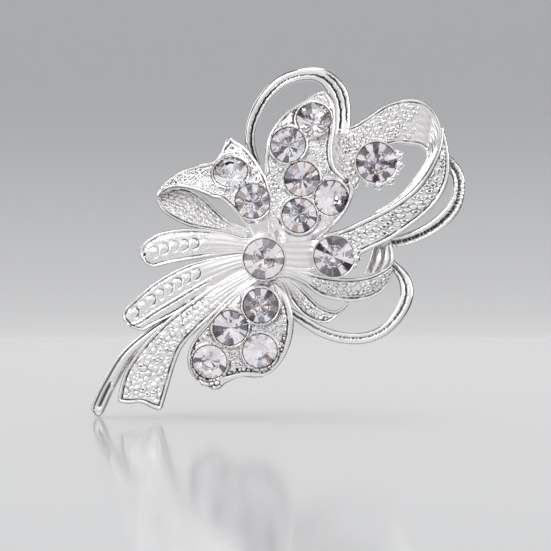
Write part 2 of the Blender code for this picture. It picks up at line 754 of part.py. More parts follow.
def hinge_rivet(owner):
    """The rivet through both ears, with a head at each end."""
    inner = FORK_GAP / 2 + EAR_THICKNESS + RIVET_PLAY
    outer = inner + RIVET_HEAD_THICKNESS
    return turned(
        "hinge_rivet",
        owner,
        (
            (0.0, outer),
            (RIVET_HEAD_FLAT, outer),
            (RIVET_HEAD, inner),
            (RIVET_RADIUS, inner),
            (RIVET_RADIUS, -inner),
            (RIVET_HEAD, -inner),
            (RIVET_HEAD_FLAT, -outer),
            (0.0, -outer),
        ),
        RIVET_SIDES,
    )


def pin(owner):
    """The pin, with its origin on the rivet and its point along -X."""
    length = HINGE_X - CATCH_X + PIN_OVERHANG
    obj = cylinder("pin", owner, EYE_RADIUS, EYE_WIDTH, Matrix.Identity(4))
    shank = turned(
        "shank",
        owner,
        (
            (0.0, length),
            (PIN_TIP, length),
            (PIN_RADIUS, length - PIN_POINT),
            (PIN_RADIUS, PIN_ROOT),
            (0.0, PIN_ROOT),
        ),
        PIN_SIDES,
    )
    shank.rotation_euler = (0.0, -math.pi / 2, 0.0)
    boolean(obj, [shank], "UNION")
    bore(obj, owner, EYE_BORE, EYE_WIDTH)
    return obj


def catch_housing(owner):
    """The open ring that guides the locking sleeve, with its origin on the sleeve's axis."""
    half = HOUSING_LENGTH / 2
    foot = BAR_THICKNESS + CLEARANCE - PIN_AXIS
    mouth = HOUSING_MOUTH / 2
    obj = turned(
        "catch_housing",
        owner,
        ((HOUSING_BORE, half), (HOUSING_OUTER, half), (HOUSING_OUTER, -half), (HOUSING_BORE, -half)),
        ROUND_SIDES,
        ring=True,
    )
    lie_along_x(obj)
    base = block(
        "base",
        owner,
        (HOUSING_STEP - half, foot, -HOUSING_FOOT / 2),
        (half - HOUSING_STEP, HOUSING_STEP - HOUSING_OUTER, HOUSING_FOOT / 2),
    )
    boolean(obj, [base], "UNION")
    past = half + CUT_PAST
    cut = block("mouth", owner, (-past, 0.0, -mouth), (past, HOUSING_OUTER + CUT_PAST, mouth))
    boolean(obj, [cut], "DIFFERENCE")
    return obj


def catch_sleeve(owner):
    """The slotted sleeve that turns in the housing to lock the pin, with flanges and a lever."""
    half = ROLLER_LENGTH / 2
    inner = HOUSING_LENGTH / 2 + CLEARANCE
    slot = ROLLER_SLOT / 2
    obj = turned(
        "catch_sleeve",
        owner,
        (
            (ROLLER_BORE, half),
            (ROLLER_FLANGE, half),
            (ROLLER_FLANGE, inner),
            (ROLLER_OUTER, inner),
            (ROLLER_OUTER, -inner),
            (ROLLER_FLANGE, -inner),
            (ROLLER_FLANGE, -half),
            (ROLLER_BORE, -half),
        ),
        ROUND_SIDES,
        ring=True,
    )
    lie_along_x(obj)
    lever = block(
        "lever",
        owner,
        (inner + LEVER_INSET, ROLLER_OUTER, -LEVER_THICKNESS / 2),
        (half - LEVER_INSET, LEVER_REACH, LEVER_THICKNESS / 2),
    )
    lever.rotation_euler = (LEVER_ANGLE, 0.0, 0.0)
    boolean(obj, [lever], "UNION")
    past = half + CUT_PAST
    cut = block("slot", owner, (-past, 0.0, -slot), (past, ROLLER_FLANGE + CUT_PAST, slot))
    boolean(obj, [cut], "DIFFERENCE")
    return obj


def lie_along_x(obj):
    """Turns the object's mesh from its Z to its X."""
    obj.data.transform(Matrix.Rotation(math.pi / 2, 4, "Y"))


def shade(obj):
    obj.data.shade_smooth()
    obj.data.set_sharp_from_angle(angle=SMOOTH_ANGLE)


# A maker gives a copy of a finished piece, grown by some mm, for cutting clearance out of its neighbours.


def ribbon_maker(name, stations, depth, crown, columns):
    return lambda owner, grow: ribbon(name, owner, stations, depth, crown, columns, grow)


def boss_maker(place):
    return lambda owner, grow: boss(owner, SMALL_STONE + grow, place)


def cup_maker(name, x, z, girdle, foot):
    return lambda owner, grow: cup(name, owner, x, z, girdle, foot, grow)


def build_cups(parts, cutters, makers):
    """The three large stones in their claw cups."""
    for stone_name, cup_name, x, z, girdle, foot in CUPS:
        stone(stone_name, parts, LARGE_STONE, stone_place(x, z, girdle))
        made = cup(cup_name, parts, x, z, girdle, foot)
        clear_of(made, makers, cutters)
        made.data.materials.append(silver(cup_name))
        makers.append(cup_maker(cup_name, x, z, girdle, foot))


def build_ribbons(parts, cutters, makers):
    """The petals, ribbons and wires, from the front backwards, with the stones set in them."""
    for name, stations, depth, crown, columns in RIBBONS:
        places = places_on(name, stations, crown)
        made = ribbon(name, parts, stations, depth, crown, columns)
        boolean(made, [boss(cutters, SMALL_STONE, place) for place in places.values()], "UNION")
        boolean(made, [seat(cutters, SMALL_STONE, place) for place in places.values()], "DIFFERENCE")
        clear_of(made, makers, cutters)
        made.data.materials.append(silver(name))
        for stone_name, place in places.items():
            stone(stone_name, parts, SMALL_STONE, place)
        makers.append(ribbon_maker(name, stations, depth, crown, columns))
        makers.extend(boss_maker(place) for place in places.values())


def build_ornament(parts, cutters):
    """Everything but the pin fitting. Each piece is cut clear of those made before it."""
    makers = []
    build_cups(parts, cutters, makers)
    hub(parts).data.materials.append(silver("hub"))
    makers.append(hub)
    build_ribbons(parts, cutters, makers)
    return makers


def build_fitting(parts, cutters, makers):
    """The back bar, cut clear of the ornament, and the pin's hinge and catch standing on it."""
    frame = fitting_frame(parts)
    bar = back_bar(parts)
    bar.matrix_world = frame.matrix_world
    bpy.context.view_layer.update()
    clear_of(bar, makers, cutters)
    bar.data.materials.append(steel("back_bar"))
    for make, x in (
        (hinge_fork, HINGE_X),
        (hinge_rivet, HINGE_X),
        (pin, HINGE_X),
        (catch_housing, CATCH_X),
        (catch_sleeve, CATCH_X),
    ):
        made = make(parts)
        made.data.materials.append(steel(made.name))
        to_frame(made, frame, x, PIN_AXIS)


def build():
    clear_scene()
    parts = collection("bow_brooch", False)
    cutters = collection("bow_brooch_cutters", True)
    makers = build_ornament(parts, cutters)
    build_fitting(parts, cutters, makers)
    for obj in parts.objects:
        if obj.type == "MESH":
            shade(obj)


build()
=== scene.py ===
import json
import math

import bmesh
import bpy
import numpy as np
from mathutils import Matrix, Vector

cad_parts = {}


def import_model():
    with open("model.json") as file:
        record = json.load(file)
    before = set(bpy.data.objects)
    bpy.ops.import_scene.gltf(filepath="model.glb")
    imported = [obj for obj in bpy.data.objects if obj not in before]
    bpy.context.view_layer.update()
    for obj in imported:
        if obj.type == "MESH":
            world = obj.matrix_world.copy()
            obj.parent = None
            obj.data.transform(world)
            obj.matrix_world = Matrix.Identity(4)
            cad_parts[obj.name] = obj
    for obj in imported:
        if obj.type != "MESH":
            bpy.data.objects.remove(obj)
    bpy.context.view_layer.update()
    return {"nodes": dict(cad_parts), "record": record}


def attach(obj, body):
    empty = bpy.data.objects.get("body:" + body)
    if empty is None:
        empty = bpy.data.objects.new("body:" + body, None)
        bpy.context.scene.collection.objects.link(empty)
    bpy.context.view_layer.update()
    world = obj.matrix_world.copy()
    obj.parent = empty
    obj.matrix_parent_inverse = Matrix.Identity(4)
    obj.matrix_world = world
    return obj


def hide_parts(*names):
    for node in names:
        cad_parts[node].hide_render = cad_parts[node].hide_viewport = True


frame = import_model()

# The brooch's worked surfaces, stones, materials and studio, round the frame's own solids. Lengths are in mm
# until a mesh is made, and heights count towards the viewer.

MM = 0.001
BODY = "ornament"
BAR_FACE = 0.9  # the origin's plane lies this far behind the plane that heights count from
GRAIN = 0.08  # spacing of the modelled surface
EDGE_REACH = 1.6  # how far along a ribbon its outline is searched for the nearest point
BACK_HOLLOW = 0.25  # how much thinner a ribbon is along its middle line
STONE_LIFT = 0.15  # how far a set stone's girdle stands above its ribbon

FLOOR_Z = -20.15
FLAT_RADIUS = 250.0
SLOPE_RADIUS = 550.0
SLOPE_ANGLE = math.radians(62)
SLOPE_STEPS = 24
FILL = 0.8  # strength of the light that the floor gets from all round
WATTS_PER_RADIANCE = 4  # for a softbox of one square metre
TURNED_SEGMENTS = 96

# Ribbons, in mm: x, z and height of one edge, then of the other, from station to station.
TAIL_UPPER = (
    (-1.4, 0.3, 3.6, -0.8, 2.9, 3.8),
    (-3.0, 0.6, 3.5, -2.6, 2.8, 3.6),
    (-5.8, 0.4, 3.3, -5.2, 3.5, 3.3),
    (-9.2, -0.1, 3.0, -9.2, 3.9, 3.0),
    (-12.0, -0.6, 2.7, -12.9, 3.4, 2.6),
    (-13.6, -1.0, 2.4, -14.8, 2.4, 2.3),
    (-14.8, -1.2, 2.2, -16.1, 1.3, 2.1),
)
TAIL_MIDDLE = (
    (-1.4, -1.6, 3.5, -1.4, 0.8, 3.6),
    (-3.0, -1.7, 3.3, -3.2, 0.7, 3.4),
    (-5.5, -3.0, 3.0, -5.8, 0.3, 3.1),
    (-8.0, -4.8, 2.6, -9.1, -0.5, 2.8),
    (-10.8, -6.7, 2.1, -12.5, -2.1, 2.4),
    (-13.3, -8.0, 1.8, -15.3, -4.1, 2.0),
    (-15.2, -9.0, 1.6, -17.4, -6.0, 1.6),
    (-16.3, -9.2, 1.5, -18.5, -7.0, 1.5),
)
TAIL_LONG = (
    (-0.6, -2.6, 3.7, -1.6, -1.0, 3.7),
    (-1.8, -3.4, 3.6, -3.2, -1.8, 3.5),
    (-3.7, -4.8, 3.6, -5.5, -2.9, 3.4),
    (-6.0, -6.8, 3.5, -8.2, -4.6, 3.1),
    (-8.3, -8.9, 3.3, -11.0, -6.6, 2.7),
    (-10.2, -11.0, 2.8, -13.8, -9.1, 2.3),
    (-11.2, -13.2, 2.4, -16.4, -12.2, 2.0),
    (-11.9, -15.5, 2.1, -17.9, -14.9, 1.8),
    (-13.0, -19.2, 2.0, -18.6, -18.1, 1.7),
)
STEM = (
    (-1.6, -2.8, 1.9, -2.6, -1.8, 1.9),
    (-7.4, -5.6, 1.5, -8.2, -4.6, 1.5),
    (-12.6, -9.2, 1.0, -13.5, -8.0, 1.0),
    (-16.6, -12.5, 0.9, -17.9, -11.6, 0.9),
    (-18.8, -16.0, 0.9, -20.4, -15.4, 0.9),
    (-20.1, -18.8, 0.9, -21.9, -18.5, 0.9),
    (-20.5, -19.6, 0.8, -21.7, -19.4, 0.8),
    (-20.9, -20.1, 0.7, -21.3, -20.0, 0.7),
)
PETAL_LOWER = (
    (0.6, -2.5, 3.7, -0.8, -2.6, 3.7),
    (2.0, -3.2, 4.2, -2.0, -3.4, 4.4),
    (3.0, -4.8, 4.6, -4.3, -5.2, 4.8),
    (3.7, -7.5, 4.6, -7.0, -8.0, 4.7),
    (3.5, -9.9, 4.2, -8.8, -10.2, 4.2),
    (2.7, -12.1, 3.7, -9.6, -12.2, 3.6),
    (1.5, -13.8, 3.4, -9.3, -14.1, 3.2),
    (0.3, -14.8, 3.2, -8.0, -15.8, 3.0),
)
PETAL_UPPER = (
    (1.2, 2.0, 3.8, 7.0, 2.4, 3.7),
    (0.8, 4.4, 4.8, 9.5, 4.9, 4.2),
    (0.8, 6.6, 5.2, 10.9, 7.2, 4.0),
    (0.7, 8.8, 5.25, 11.2, 9.1, 4.1),
    (0.1, 11.2, 5.5, 9.0, 11.2, 5.2),
    (0.2, 13.6, 5.6, 8.5, 13.5, 5.5),
    (0.9, 15.9, 5.3, 8.8, 16.0, 5.4),
    (2.5, 18.0, 4.9, 8.9, 18.2, 5.0),
    (4.9, 19.6, 4.5, 8.6, 19.9, 4.6),
    (6.6, 20.8, 4.1, 7.9, 20.9, 4.1),
)
LOOP_LEFT = (
    (-1.5, 2.6, 4.3, 1.6, 2.0, 4.4),
    (-2.1, 3.7, 4.45, 1.0, 3.4, 4.6),
    (-3.0, 5.1, 4.7, 1.0, 5.0, 4.85),
    (-4.2, 6.4, 4.9, 1.1, 7.5, 5.0),
    (-5.4, 7.4, 5.1, 0.2, 10.5, 4.4),
    (-6.4, 7.6, 5.1, -1.9, 13.6, 2.9),
    (-6.9, 7.9, 5.05, -3.6, 14.9, 2.0),
    (-7.2, 8.0, 5.0, -4.4, 15.3, 1.8),
    (-7.5, 8.15, 4.95, -4.9, 14.2, 1.9),
    (-7.9, 8.3, 4.9, -5.6, 13.0, 2.2),
    (-8.4, 8.5, 4.85, -6.8, 12.2, 2.4),
    (-9.5, 8.8, 4.8, -8.4, 11.8, 2.6),
    (-10.9, 9.0, 4.7, -10.2, 11.1, 2.6),
    (-12.0, 8.8, 4.6, -12.0, 9.9, 2.2),
    (-12.8, 8.3, 4.3, -12.9, 8.9, 2.0),
    (-13.2, 7.8, 4.0, -13.5, 8.0, 2.6),
)
LOOP_LEFT_UNDER = (
    (-13.5, 7.4, 3.4, -13.0, 8.3, 1.9),
    (-12.8, 6.1, 3.0, -11.6, 9.0, 1.9),
    (-11.1, 4.9, 2.8, -9.6, 9.0, 1.8),
    (-9.2, 4.1, 2.6, -7.6, 7.8, 1.8),
    (-7.1, 3.7, 2.5, -6.0, 6.2, 1.8),
    (-4.9, 3.3, 2.5, -4.2, 4.8, 1.9),
    (-2.4, 2.4, 2.6, -1.8, 3.7, 2.4),
)
LOOP_RIGHT_UPPER = (
    (8.0, 7.8, 3.0, 8.2, 16.2, 3.9),
    (10.0, 8.0, 3.1, 10.0, 16.4, 4.0),
    (11.7, 9.0, 3.1, 11.4, 16.8, 4.1),
    (13.2, 13.1, 3.2, 13.2, 17.9, 4.3),
    (15.0, 14.0, 3.3, 15.2, 19.2, 4.5),
    (16.6, 14.5, 3.3, 17.2, 19.8, 4.7),
    (18.4, 14.4, 3.3, 19.1, 19.8, 4.8),
    (19.6, 14.2, 3.2, 20.8, 18.9, 5.0),
    (20.3, 13.6, 3.3, 21.9, 16.8, 5.2),
    (20.4, 12.6, 4.0, 22.0, 14.5, 5.1),
    (19.7, 11.3, 4.2, 21.3, 12.6, 5.0),
    (18.5, 9.8, 4.2, 20.1, 10.5, 4.8),
    (17.2, 8.2, 4.1, 18.2, 8.4, 4.5),
    (15.6, 6.9, 3.9, 16.2, 6.8, 4.2),
    (14.0, 5.9, 3.7, 14.2, 5.75, 3.9),
)
LOOP_RIGHT_LOWER = (
    (22.2, 16.4, 4.2, 22.4, 16.4, 3.9),
    (21.9, 14.4, 4.4, 23.0, 14.4, 3.6),
    (21.3, 12.6, 4.5, 23.3, 12.1, 3.4),
    (20.2, 10.6, 4.5, 23.1, 9.8, 3.3),
    (18.7, 8.7, 4.4, 22.1, 7.6, 3.3),
    (16.8, 7.2, 4.2, 20.5, 5.8, 3.3),
    (15.1, 6.2, 4.0, 18.4, 4.1, 3.3),
    (12.8, 5.1, 3.6, 15.9, 2.4, 3.2),
    (10.2, 3.9, 3.3, 13.2, 1.1, 3.0),
    (7.0, 3.1, 3.4, 9.9, -0.6, 3.0),
    (4.0, 3.3, 3.7, 6.0, -1.6, 3.2),
    (0.8, 3.4, 3.8, 2.6, -1.4, 3.6),
)
BAND_FRONT = (
    (1.6, -0.9, 3.8, 1.2, -2.6, 3.6),
    (3.1, -1.1, 3.5, 2.8, -2.4, 3.2),
    (5.5, -1.6, 3.3, 4.9, -3.2, 2.8),
    (8.2, -2.2, 3.3, 7.2, -4.7, 2.5),
    (11.0, -2.4, 3.4, 9.9, -5.3, 2.4),
    (13.2, -2.1, 3.5, 12.4, -5.2, 2.4),
    (15.0, -1.3, 3.6, 14.4, -4.4, 2.5),
    (15.8, -0.7, 3.6, 15.5, -3.2, 2.7),
    (16.1, -0.4, 3.5, 16.1, -1.9, 2.9),
)
BAND_BACK = (
    (12.8, -1.8, 1.2, 15.6, -1.6, 2.6),
    (13.4, -0.2, 1.1, 16.3, -0.4, 2.8),
    (13.8, 1.1, 1.0, 16.3, 0.9, 2.6),
    (14.1, 2.6, 1.0, 15.9, 2.6, 2.2),
)
CURL = (
    (2.3, -1.9, 2.9, 1.6, -2.5, 2.8),
    (3.2, -2.3, 2.8, 2.3, -3.1, 2.6),
    (5.1, -4.0, 2.7, 3.2, -5.0, 2.3),
    (6.6, -5.5, 2.7, 4.6, -6.8, 2.1),
    (7.8, -6.2, 2.7, 6.3, -7.8, 2.1),
    (8.7, -6.5, 2.7, 7.9, -8.0, 2.2),
    (9.3, -6.4, 2.6, 9.0, -7.3, 2.2),
    (9.8, -6.1, 2.4, 9.8, -6.6, 2.1),
    (10.2, -5.8, 2.3, 10.3, -6.0, 2.0),
    (10.6, -5.4, 2.1, 10.7, -5.5, 1.9),
)
WIRE_TOP = (
    (-1.4, 12.2, 1.2, -0.3, 11.9, 1.4),
    (-2.3, 14.1, 1.5, -1.0, 13.9, 1.7),
    (-2.3, 16.1, 2.0, -1.1, 16.0, 2.2),
    (-1.7, 18.6, 2.5, -0.4, 18.0, 2.7),
    (-0.3, 20.9, 2.9, 0.8, 20.0, 3.1),
    (1.5, 22.7, 3.2, 2.4, 21.5, 3.4),
    (3.6, 23.7, 3.4, 4.1, 22.3, 3.6),
    (5.8, 24.0, 3.5, 5.8, 22.5, 3.7),
    (7.6, 23.8, 3.5, 6.8, 22.2, 3.7),
    (9.3, 22.8, 3.4, 7.5, 21.6, 3.6),
    (10.5, 21.1, 3.3, 8.2, 20.4, 3.5),
    (10.9, 19.1, 3.2, 8.7, 18.9, 3.4),
    (10.9, 17.2, 3.5, 8.7, 17.1, 3.6),
    (10.6, 15.6, 3.9, 8.5, 15.6, 3.9),
)
WIRE_RIGHT = (
    (22.9, 13.6, 1.8, 22.0, 12.6, 1.9),
    (24.2, 12.4, 2.1, 23.0, 11.4, 2.3),
    (25.1, 10.9, 2.4, 23.7, 10.3, 2.7),
    (25.3, 8.9, 2.6, 23.8, 8.8, 2.9),
    (24.9, 6.7, 2.6, 23.3, 7.2, 2.9),
    (23.8, 4.9, 2.5, 22.1, 5.8, 2.8),
    (22.0, 3.4, 2.3, 20.5, 4.5, 2.6),
    (19.5, 2.1, 2.0, 18.4, 3.5, 2.2),
    (17.0, 1.5, 1.7, 16.4, 2.9, 1.8),
    (15.2, 1.8, 1.5, 15.0, 2.9, 1.6),
)
WIRE_LOW = (
    (2.6, -5.6, 1.9, 2.2, -6.8, 1.7),
    (5.5, -7.4, 2.1, 5.0, -8.6, 1.9),
    (7.6, -8.5, 2.3, 7.0, -9.8, 2.1),
    (9.9, -9.2, 2.5, 9.6, -10.6, 2.3),
    (12.2, -9.3, 2.6, 12.5, -10.7, 2.4),
    (14.4, -8.6, 2.6, 15.1, -9.8, 2.4),
    (16.0, -7.1, 2.5, 17.1, -8.1, 2.3),
    (17.0, -5.2, 2.4, 18.5, -5.9, 2.2),
    (17.2, -3.6, 2.2, 18.9, -3.8, 2.0),
    (16.7, -2.1, 1.8, 18.2, -1.8, 1.6),
    (15.6, -0.9, 1.2, 16.8, -0.4, 1.0),
    (14.5, 0.1, 0.9, 15.5, 1.0, 0.8),
)

# Lengths along the wire, and the share of its groove's depth at each.
TOP_DEPTHS = ((0.0, 9.5, 12.0, 15.5, 18.0), (1.0, 1.0, 0.2, 0.2, 1.2))
LOW_DEPTHS = ((0.0, 3.0, 5.0, 15.5, 18.0), (0.8, 0.8, 0.2, 0.2, 0.9))

SMALL_STONE = 2.15  # radius
LARGE_STONE = 2.5  # radius
SEAT_RADIUS = SMALL_STONE + 0.32  # the pocket with its collar
BOSS_RADIUS = SMALL_STONE + 0.4

# A stone of radius 1: radius and height of the table's edge, the crown's kite tips and the break in the
# pavilion, half the girdle's height, and the height of the point.
TABLE_EDGE = (0.52, 0.36)
KITE_TIPS = (0.79, 0.2)
PAVILION_BREAK = (0.46, -0.49)
GIRDLE = 0.035
CULET = -0.86

# Name, the ribbon that holds it, x, z, lean to the right, lean upwards and turn about its own axis in
# degrees, and the share of foil facets with a painted dark reflection.
SET_STONES = (
    ("stone_01", "loop_left", -4.2, 10.9, -8.0, 30.0, 10.0, 0.12),
    ("stone_02", "loop_left", -1.4, 7.2, 0.0, 6.0, 24.0, 0.7),
    ("stone_03", "petal_upper", 3.0, 14.1, -6.0, 4.0, 3.0, 0.42),
    ("stone_04", "petal_upper", 6.2, 17.4, 0.0, 22.0, 31.0, 0.3),
    ("stone_05", "petal_upper", 4.7, 9.9, -4.0, 0.0, 17.0, 0.5),
    ("stone_06", "petal_upper", 4.4, 5.4, 0.0, -8.0, 39.0, 0.5),
    ("stone_07", "petal_upper", 8.4, 7.6, 16.0, -6.0, 8.0, 0.15),
    ("stone_08", "petal_lower", -0.4, -5.8, 4.0, 4.0, 21.0, 0.55),
    ("stone_09", "petal_lower", -4.2, -8.6, -4.0, 0.0, 35.0, 0.4),
    ("stone_10", "petal_lower", -0.5, -11.5, 6.0, -6.0, 13.0, 0.15),
    ("stone_11", "petal_lower", -6.8, -12.9, -4.0, -8.0, 28.0, 0.18),
)
# Stone, cup, x, z, the girdle's height, the foot's height, turn in degrees, and the claws' first and last
# angle and their number.
CUPS = (
    ("stone_centre", "cup_centre", 0.0, 0.0, 6.4, 3.4, 5.0, None),
    ("stone_right", "cup_right", 8.7, 0.3, 5.6, 1.6, 22.0, (-52.0, 14.0, 4)),
    ("stone_top", "cup_top", 14.0, 12.0, 5.4, 1.6, 12.0, (-128.0, 34.0, 8)),
)

# Where each colour on the foil's ramp begins, and the colour, each one a painted reflection. Under 0.5 lie the
# bright facets.
# Dark stops paint reflected dark wedges, brown and blue stops paint dispersion glints, and bright ones carry
# faint painted tints.
PAINTED_FOIL_STOPS = (
    (0.0, (0.94, 0.922, 0.945)),
    (0.30, (0.90, 0.895, 0.93)),
    (0.40, (0.95, 0.917, 0.912)),
    (0.5, (0.36, 0.345, 0.375)),
    (0.68, (0.20, 0.19, 0.21)),
    (0.86, (0.58, 0.49, 0.45)),
    (0.93, (0.58, 0.61, 0.68)),
)


# ---------------------------------------------------------------- surfaces


def catmull(stations):
    """Rows through the stations, evenly spaced along the middle line, and the length so far at each."""
    pts = np.array(stations, float)
    ends = np.vstack([pts[0], pts, pts[-1]])
    t = np.linspace(0, len(pts) - 1, 40 * len(pts))
    i = np.minimum(t.astype(int), len(pts) - 2)
    f = (t - i)[:, None]
    p, q, r, s = ends[i], ends[i + 1], ends[i + 2], ends[i + 3]
    rows = 0.5 * (2 * q + (r - p) * f + (2 * p - 5 * q + 4 * r - s) * f**2 + (3 * q - p - 3 * r + s) * f**3)
    middle = (rows[:, :3] + rows[:, 3:]) / 2
    along = np.concatenate([[0], np.cumsum(np.linalg.norm(np.diff(middle, axis=0), axis=1))])
    even = np.linspace(0, along[-1], int(along[-1] / GRAIN))
    return np.stack([np.interp(even, along, rows[:, k]) for k in range(6)], axis=1), even


def world(points):
    """Turns x, z, height into world x, y, z, all in mm."""
    return np.stack([points[..., 0], -points[..., 2] - BAR_FACE, points[..., 1]], axis=-1)


def grid_normals(points):
    """Unit normals of a grid of points, turned towards the viewer."""
    normals = np.cross(np.gradient(points, axis=0), np.gradient(points, axis=1))
    normals /= np.maximum(np.linalg.norm(normals, axis=-1, keepdims=True), 1e-9)
    return normals * np.where(normals[..., 1].mean() > 0, -1.0, 1.0)


def rand(i, j, seed):
    """A number from 0 to 1 that is always the same for the same place and seed."""
    value = np.sin(i * 127.1 + j * 311.7 + seed * 74.7) * 43758.5453
    return value - np.floor(value)


def smooth(low, high, x):
    """A smooth step from 0 at low to 1 at high."""
    t = np.clip((x - low) / (high - low), 0, 1)
    return t * t * (3 - 2 * t)


def bump(x, width):
    """A bell of height 1 around x = 0."""
    return np.exp(-((x / width) ** 2))


def dome(x):
    """A half circle of height 1 from x = -1 to 1, and 0 outside."""
    return np.sqrt(np.clip(1 - x**2, 0, 1))


def granules(a, b, pitch, seed, rings=0.35, height=0.15):
    """Beads and small broken rings on a loose hexagonal lattice in the plane a, b."""
    row = pitch * 0.87
    best = np.full(a.shape, 9.0)
    kind = np.zeros(a.shape)
    size = np.ones(a.shape)
    gap = np.zeros(a.shape)
    j0 = np.floor(b / row)
    for dj in (-1, 0, 1, 2):
        j = j0 + dj
        shift = np.where(np.mod(j, 2) == 0, 0.0, 0.5)
        i0 = np.floor(a / pitch - shift)
        for di in (0, 1):
            i = i0 + di
            ca = (i + shift + 0.45 * (rand(i, j, seed) - 0.5)) * pitch
            cb = (j + 0.4 * (rand(i, j, seed + 1) - 0.5)) * row
            d = np.hypot(a - ca, b - cb) / pitch
            near = d < best
            best = np.where(near, d, best)
            kind = np.where(near, rand(i, j, seed + 2), kind)
            size = np.where(near, 0.5 + 0.7 * rand(i, j, seed + 3), size)
            turn = np.arctan2(b - cb, a - ca) - 2 * math.pi * rand(i, j, seed + 4)
            gap = np.where(near, np.cos(turn), gap)
    bead = dome(best / 0.46)
    ring = bump(best - 0.3, 0.12) * smooth(-0.95, -0.45, gap)
    return height * size * np.where(kind < rings, ring, bead)


def rim(edge, width, height):
    """A rounded bead along an edge, with a fine groove inside it."""
    half = width / 2
    return height * dome((edge - half) / half) - 0.10 * bump(edge - width - 0.07, 0.07)


def ring_marks(s, v, spacing, radius, first, last, seed):
    """A row of pressed crescents that open towards the tip, each over a low bead."""
    out = np.zeros(s.shape)
    for k in range(int((last - first) / spacing) + 1):
        strength = 0.15 + 1.0 * float(rand(k, 1, seed)) ** 1.5
        ds = s - first - k * spacing
        dv = v - 0.12 * (float(rand(k, 2, seed)) - 0.5)
        d = np.hypot(ds, dv)
        arc = smooth(-0.75, 0.3, -ds / np.maximum(d, 1e-6))
        mark = 0.09 * np.clip(1 - (d / (radius * 0.8)) ** 2, 0, 1)
        mark -= strength * 0.24 * arc * bump(d - radius, 0.17 * radius)
        out = np.where(d < radius * 1.4, mark, out)
    return out


def pit(sheet, place, radius, depth):
    """A small steep-sided hole around a point given by x and z."""
    apart = np.hypot(sheet.flat[..., 0] - place[0], sheet.flat[..., 1] - place[1])
    return -depth * smooth(radius * 1.25, radius * 0.75, apart)


def hollows(move):
    """How far each point lies below the surface around it, from 0 to 1."""
    around = move.copy()
    for axis in (0, 1):
        for _ in range(3):
            around = (np.roll(around, 1, axis) + around + np.roll(around, -1, axis)) / 3
    return smooth(0.01, 0.05, around - move)


class Sheet:
    """A ribbon's front surface as grids of points, their normals and each point's place in the ribbon, in mm.

    s and end are the distances from the first and the last row. v, middle and edge are those from the first
    long edge, the middle line and the nearer long edge, and share is v as a share of the width. outline is
    the shortest way to a long edge or to the last row."""

    def __init__(self, stations, crown, round_end=0.0, warp=None):
        rows, along = catmull(stations)
        near, far = rows[:, :3], rows[:, 3:]
        width = np.linalg.norm(far - near, axis=1)
        columns = max(16, int(width.max() / GRAIN))
        self.length = along[-1]
        into = np.clip(round_end - (self.length - along), 0, round_end)
        inset = np.minimum(round_end - np.sqrt(round_end**2 - into**2), 0.42 * width)
        across = (far - near) / width[:, None] * inset[:, None]
        near, far, width = near + across, far - across, width - 2 * inset
        share = np.linspace(0, 1, columns)
        flat = near[:, None] * (1 - share[None, :, None]) + far[:, None] * share[None, :, None]
        flat[..., 2] += crown * (1 - (2 * share - 1) ** 2)
        self.s = np.repeat(along[:, None], columns, axis=1)
        self.width = np.repeat(width[:, None], columns, axis=1)
        self.v = share[None, :] * self.width
        self.share = self.v / np.maximum(self.width, 1e-6)
        self.middle = self.v - self.width / 2
        self.edge = np.minimum(self.v, self.width - self.v)
        self.end = self.length - self.s
        if warp:
            flat[..., 1] += warp(self)
        self.flat = flat
        self.points = world(flat)
        self.normals = grid_normals(self.points)
        self.outline = self.to_outline()

    def to_outline(self):
        """Distance to the ribbon's outline: both long edges, and the end row."""
        rows = len(self.points)
        reach = int(EDGE_REACH / GRAIN)
        best = np.minimum(self.edge, self.end)
        for step in range(-reach, reach + 1):
            other = np.clip(np.arange(rows) + step, 0, rows - 1)
            for side in (0, -1):
                border = self.points[other, side][:, None]
                best = np.minimum(best, np.linalg.norm(self.points - border, axis=-1))
        return best

    def flutes(self, height, count, phase=0.0):
        """Shallow grooves along the ribbon, which run together where it narrows."""
        return height * np.cos(2 * math.pi * self.middle / np.maximum(self.width, 0.1) * count + phase)


# Each function below gives a relief: how far a sheet's surface stands out, in mm, from place to place.


def granulated(
    seed,
    rim_width,
    rim_height,
    smooth_from,
    smooth_to,
    pitch,
    end_rim=False,
    rings=0.35,
    flip=False,
    height=0.15,
    until=None,
    fluted=0.016,
):
    """A beaded field between raised rims, fading to a smooth fluted surface towards the hub end.

    The hub end is the first row, or the last one with flip. Where until is set, the field also ends there."""

    def relief(sheet):
        hub, tip = (sheet.end, sheet.s) if flip else (sheet.s, sheet.end)
        edge = np.minimum(sheet.outline, tip) if end_rim else sheet.edge
        worked = smooth(smooth_from, smooth_to, hub)
        show = worked * smooth(until + 1.0, until, hub) if until else worked
        inner = smooth(rim_width + 0.08, rim_width + 0.25, edge)
        field = granules(sheet.s, sheet.middle, pitch, seed, rings, height) * inner
        border = rim(edge, rim_width, rim_height) * (0.25 + 0.75 * worked)
        return show * field + (1 - show) * sheet.flutes(fluted, 6, 0.5) + border

    return relief


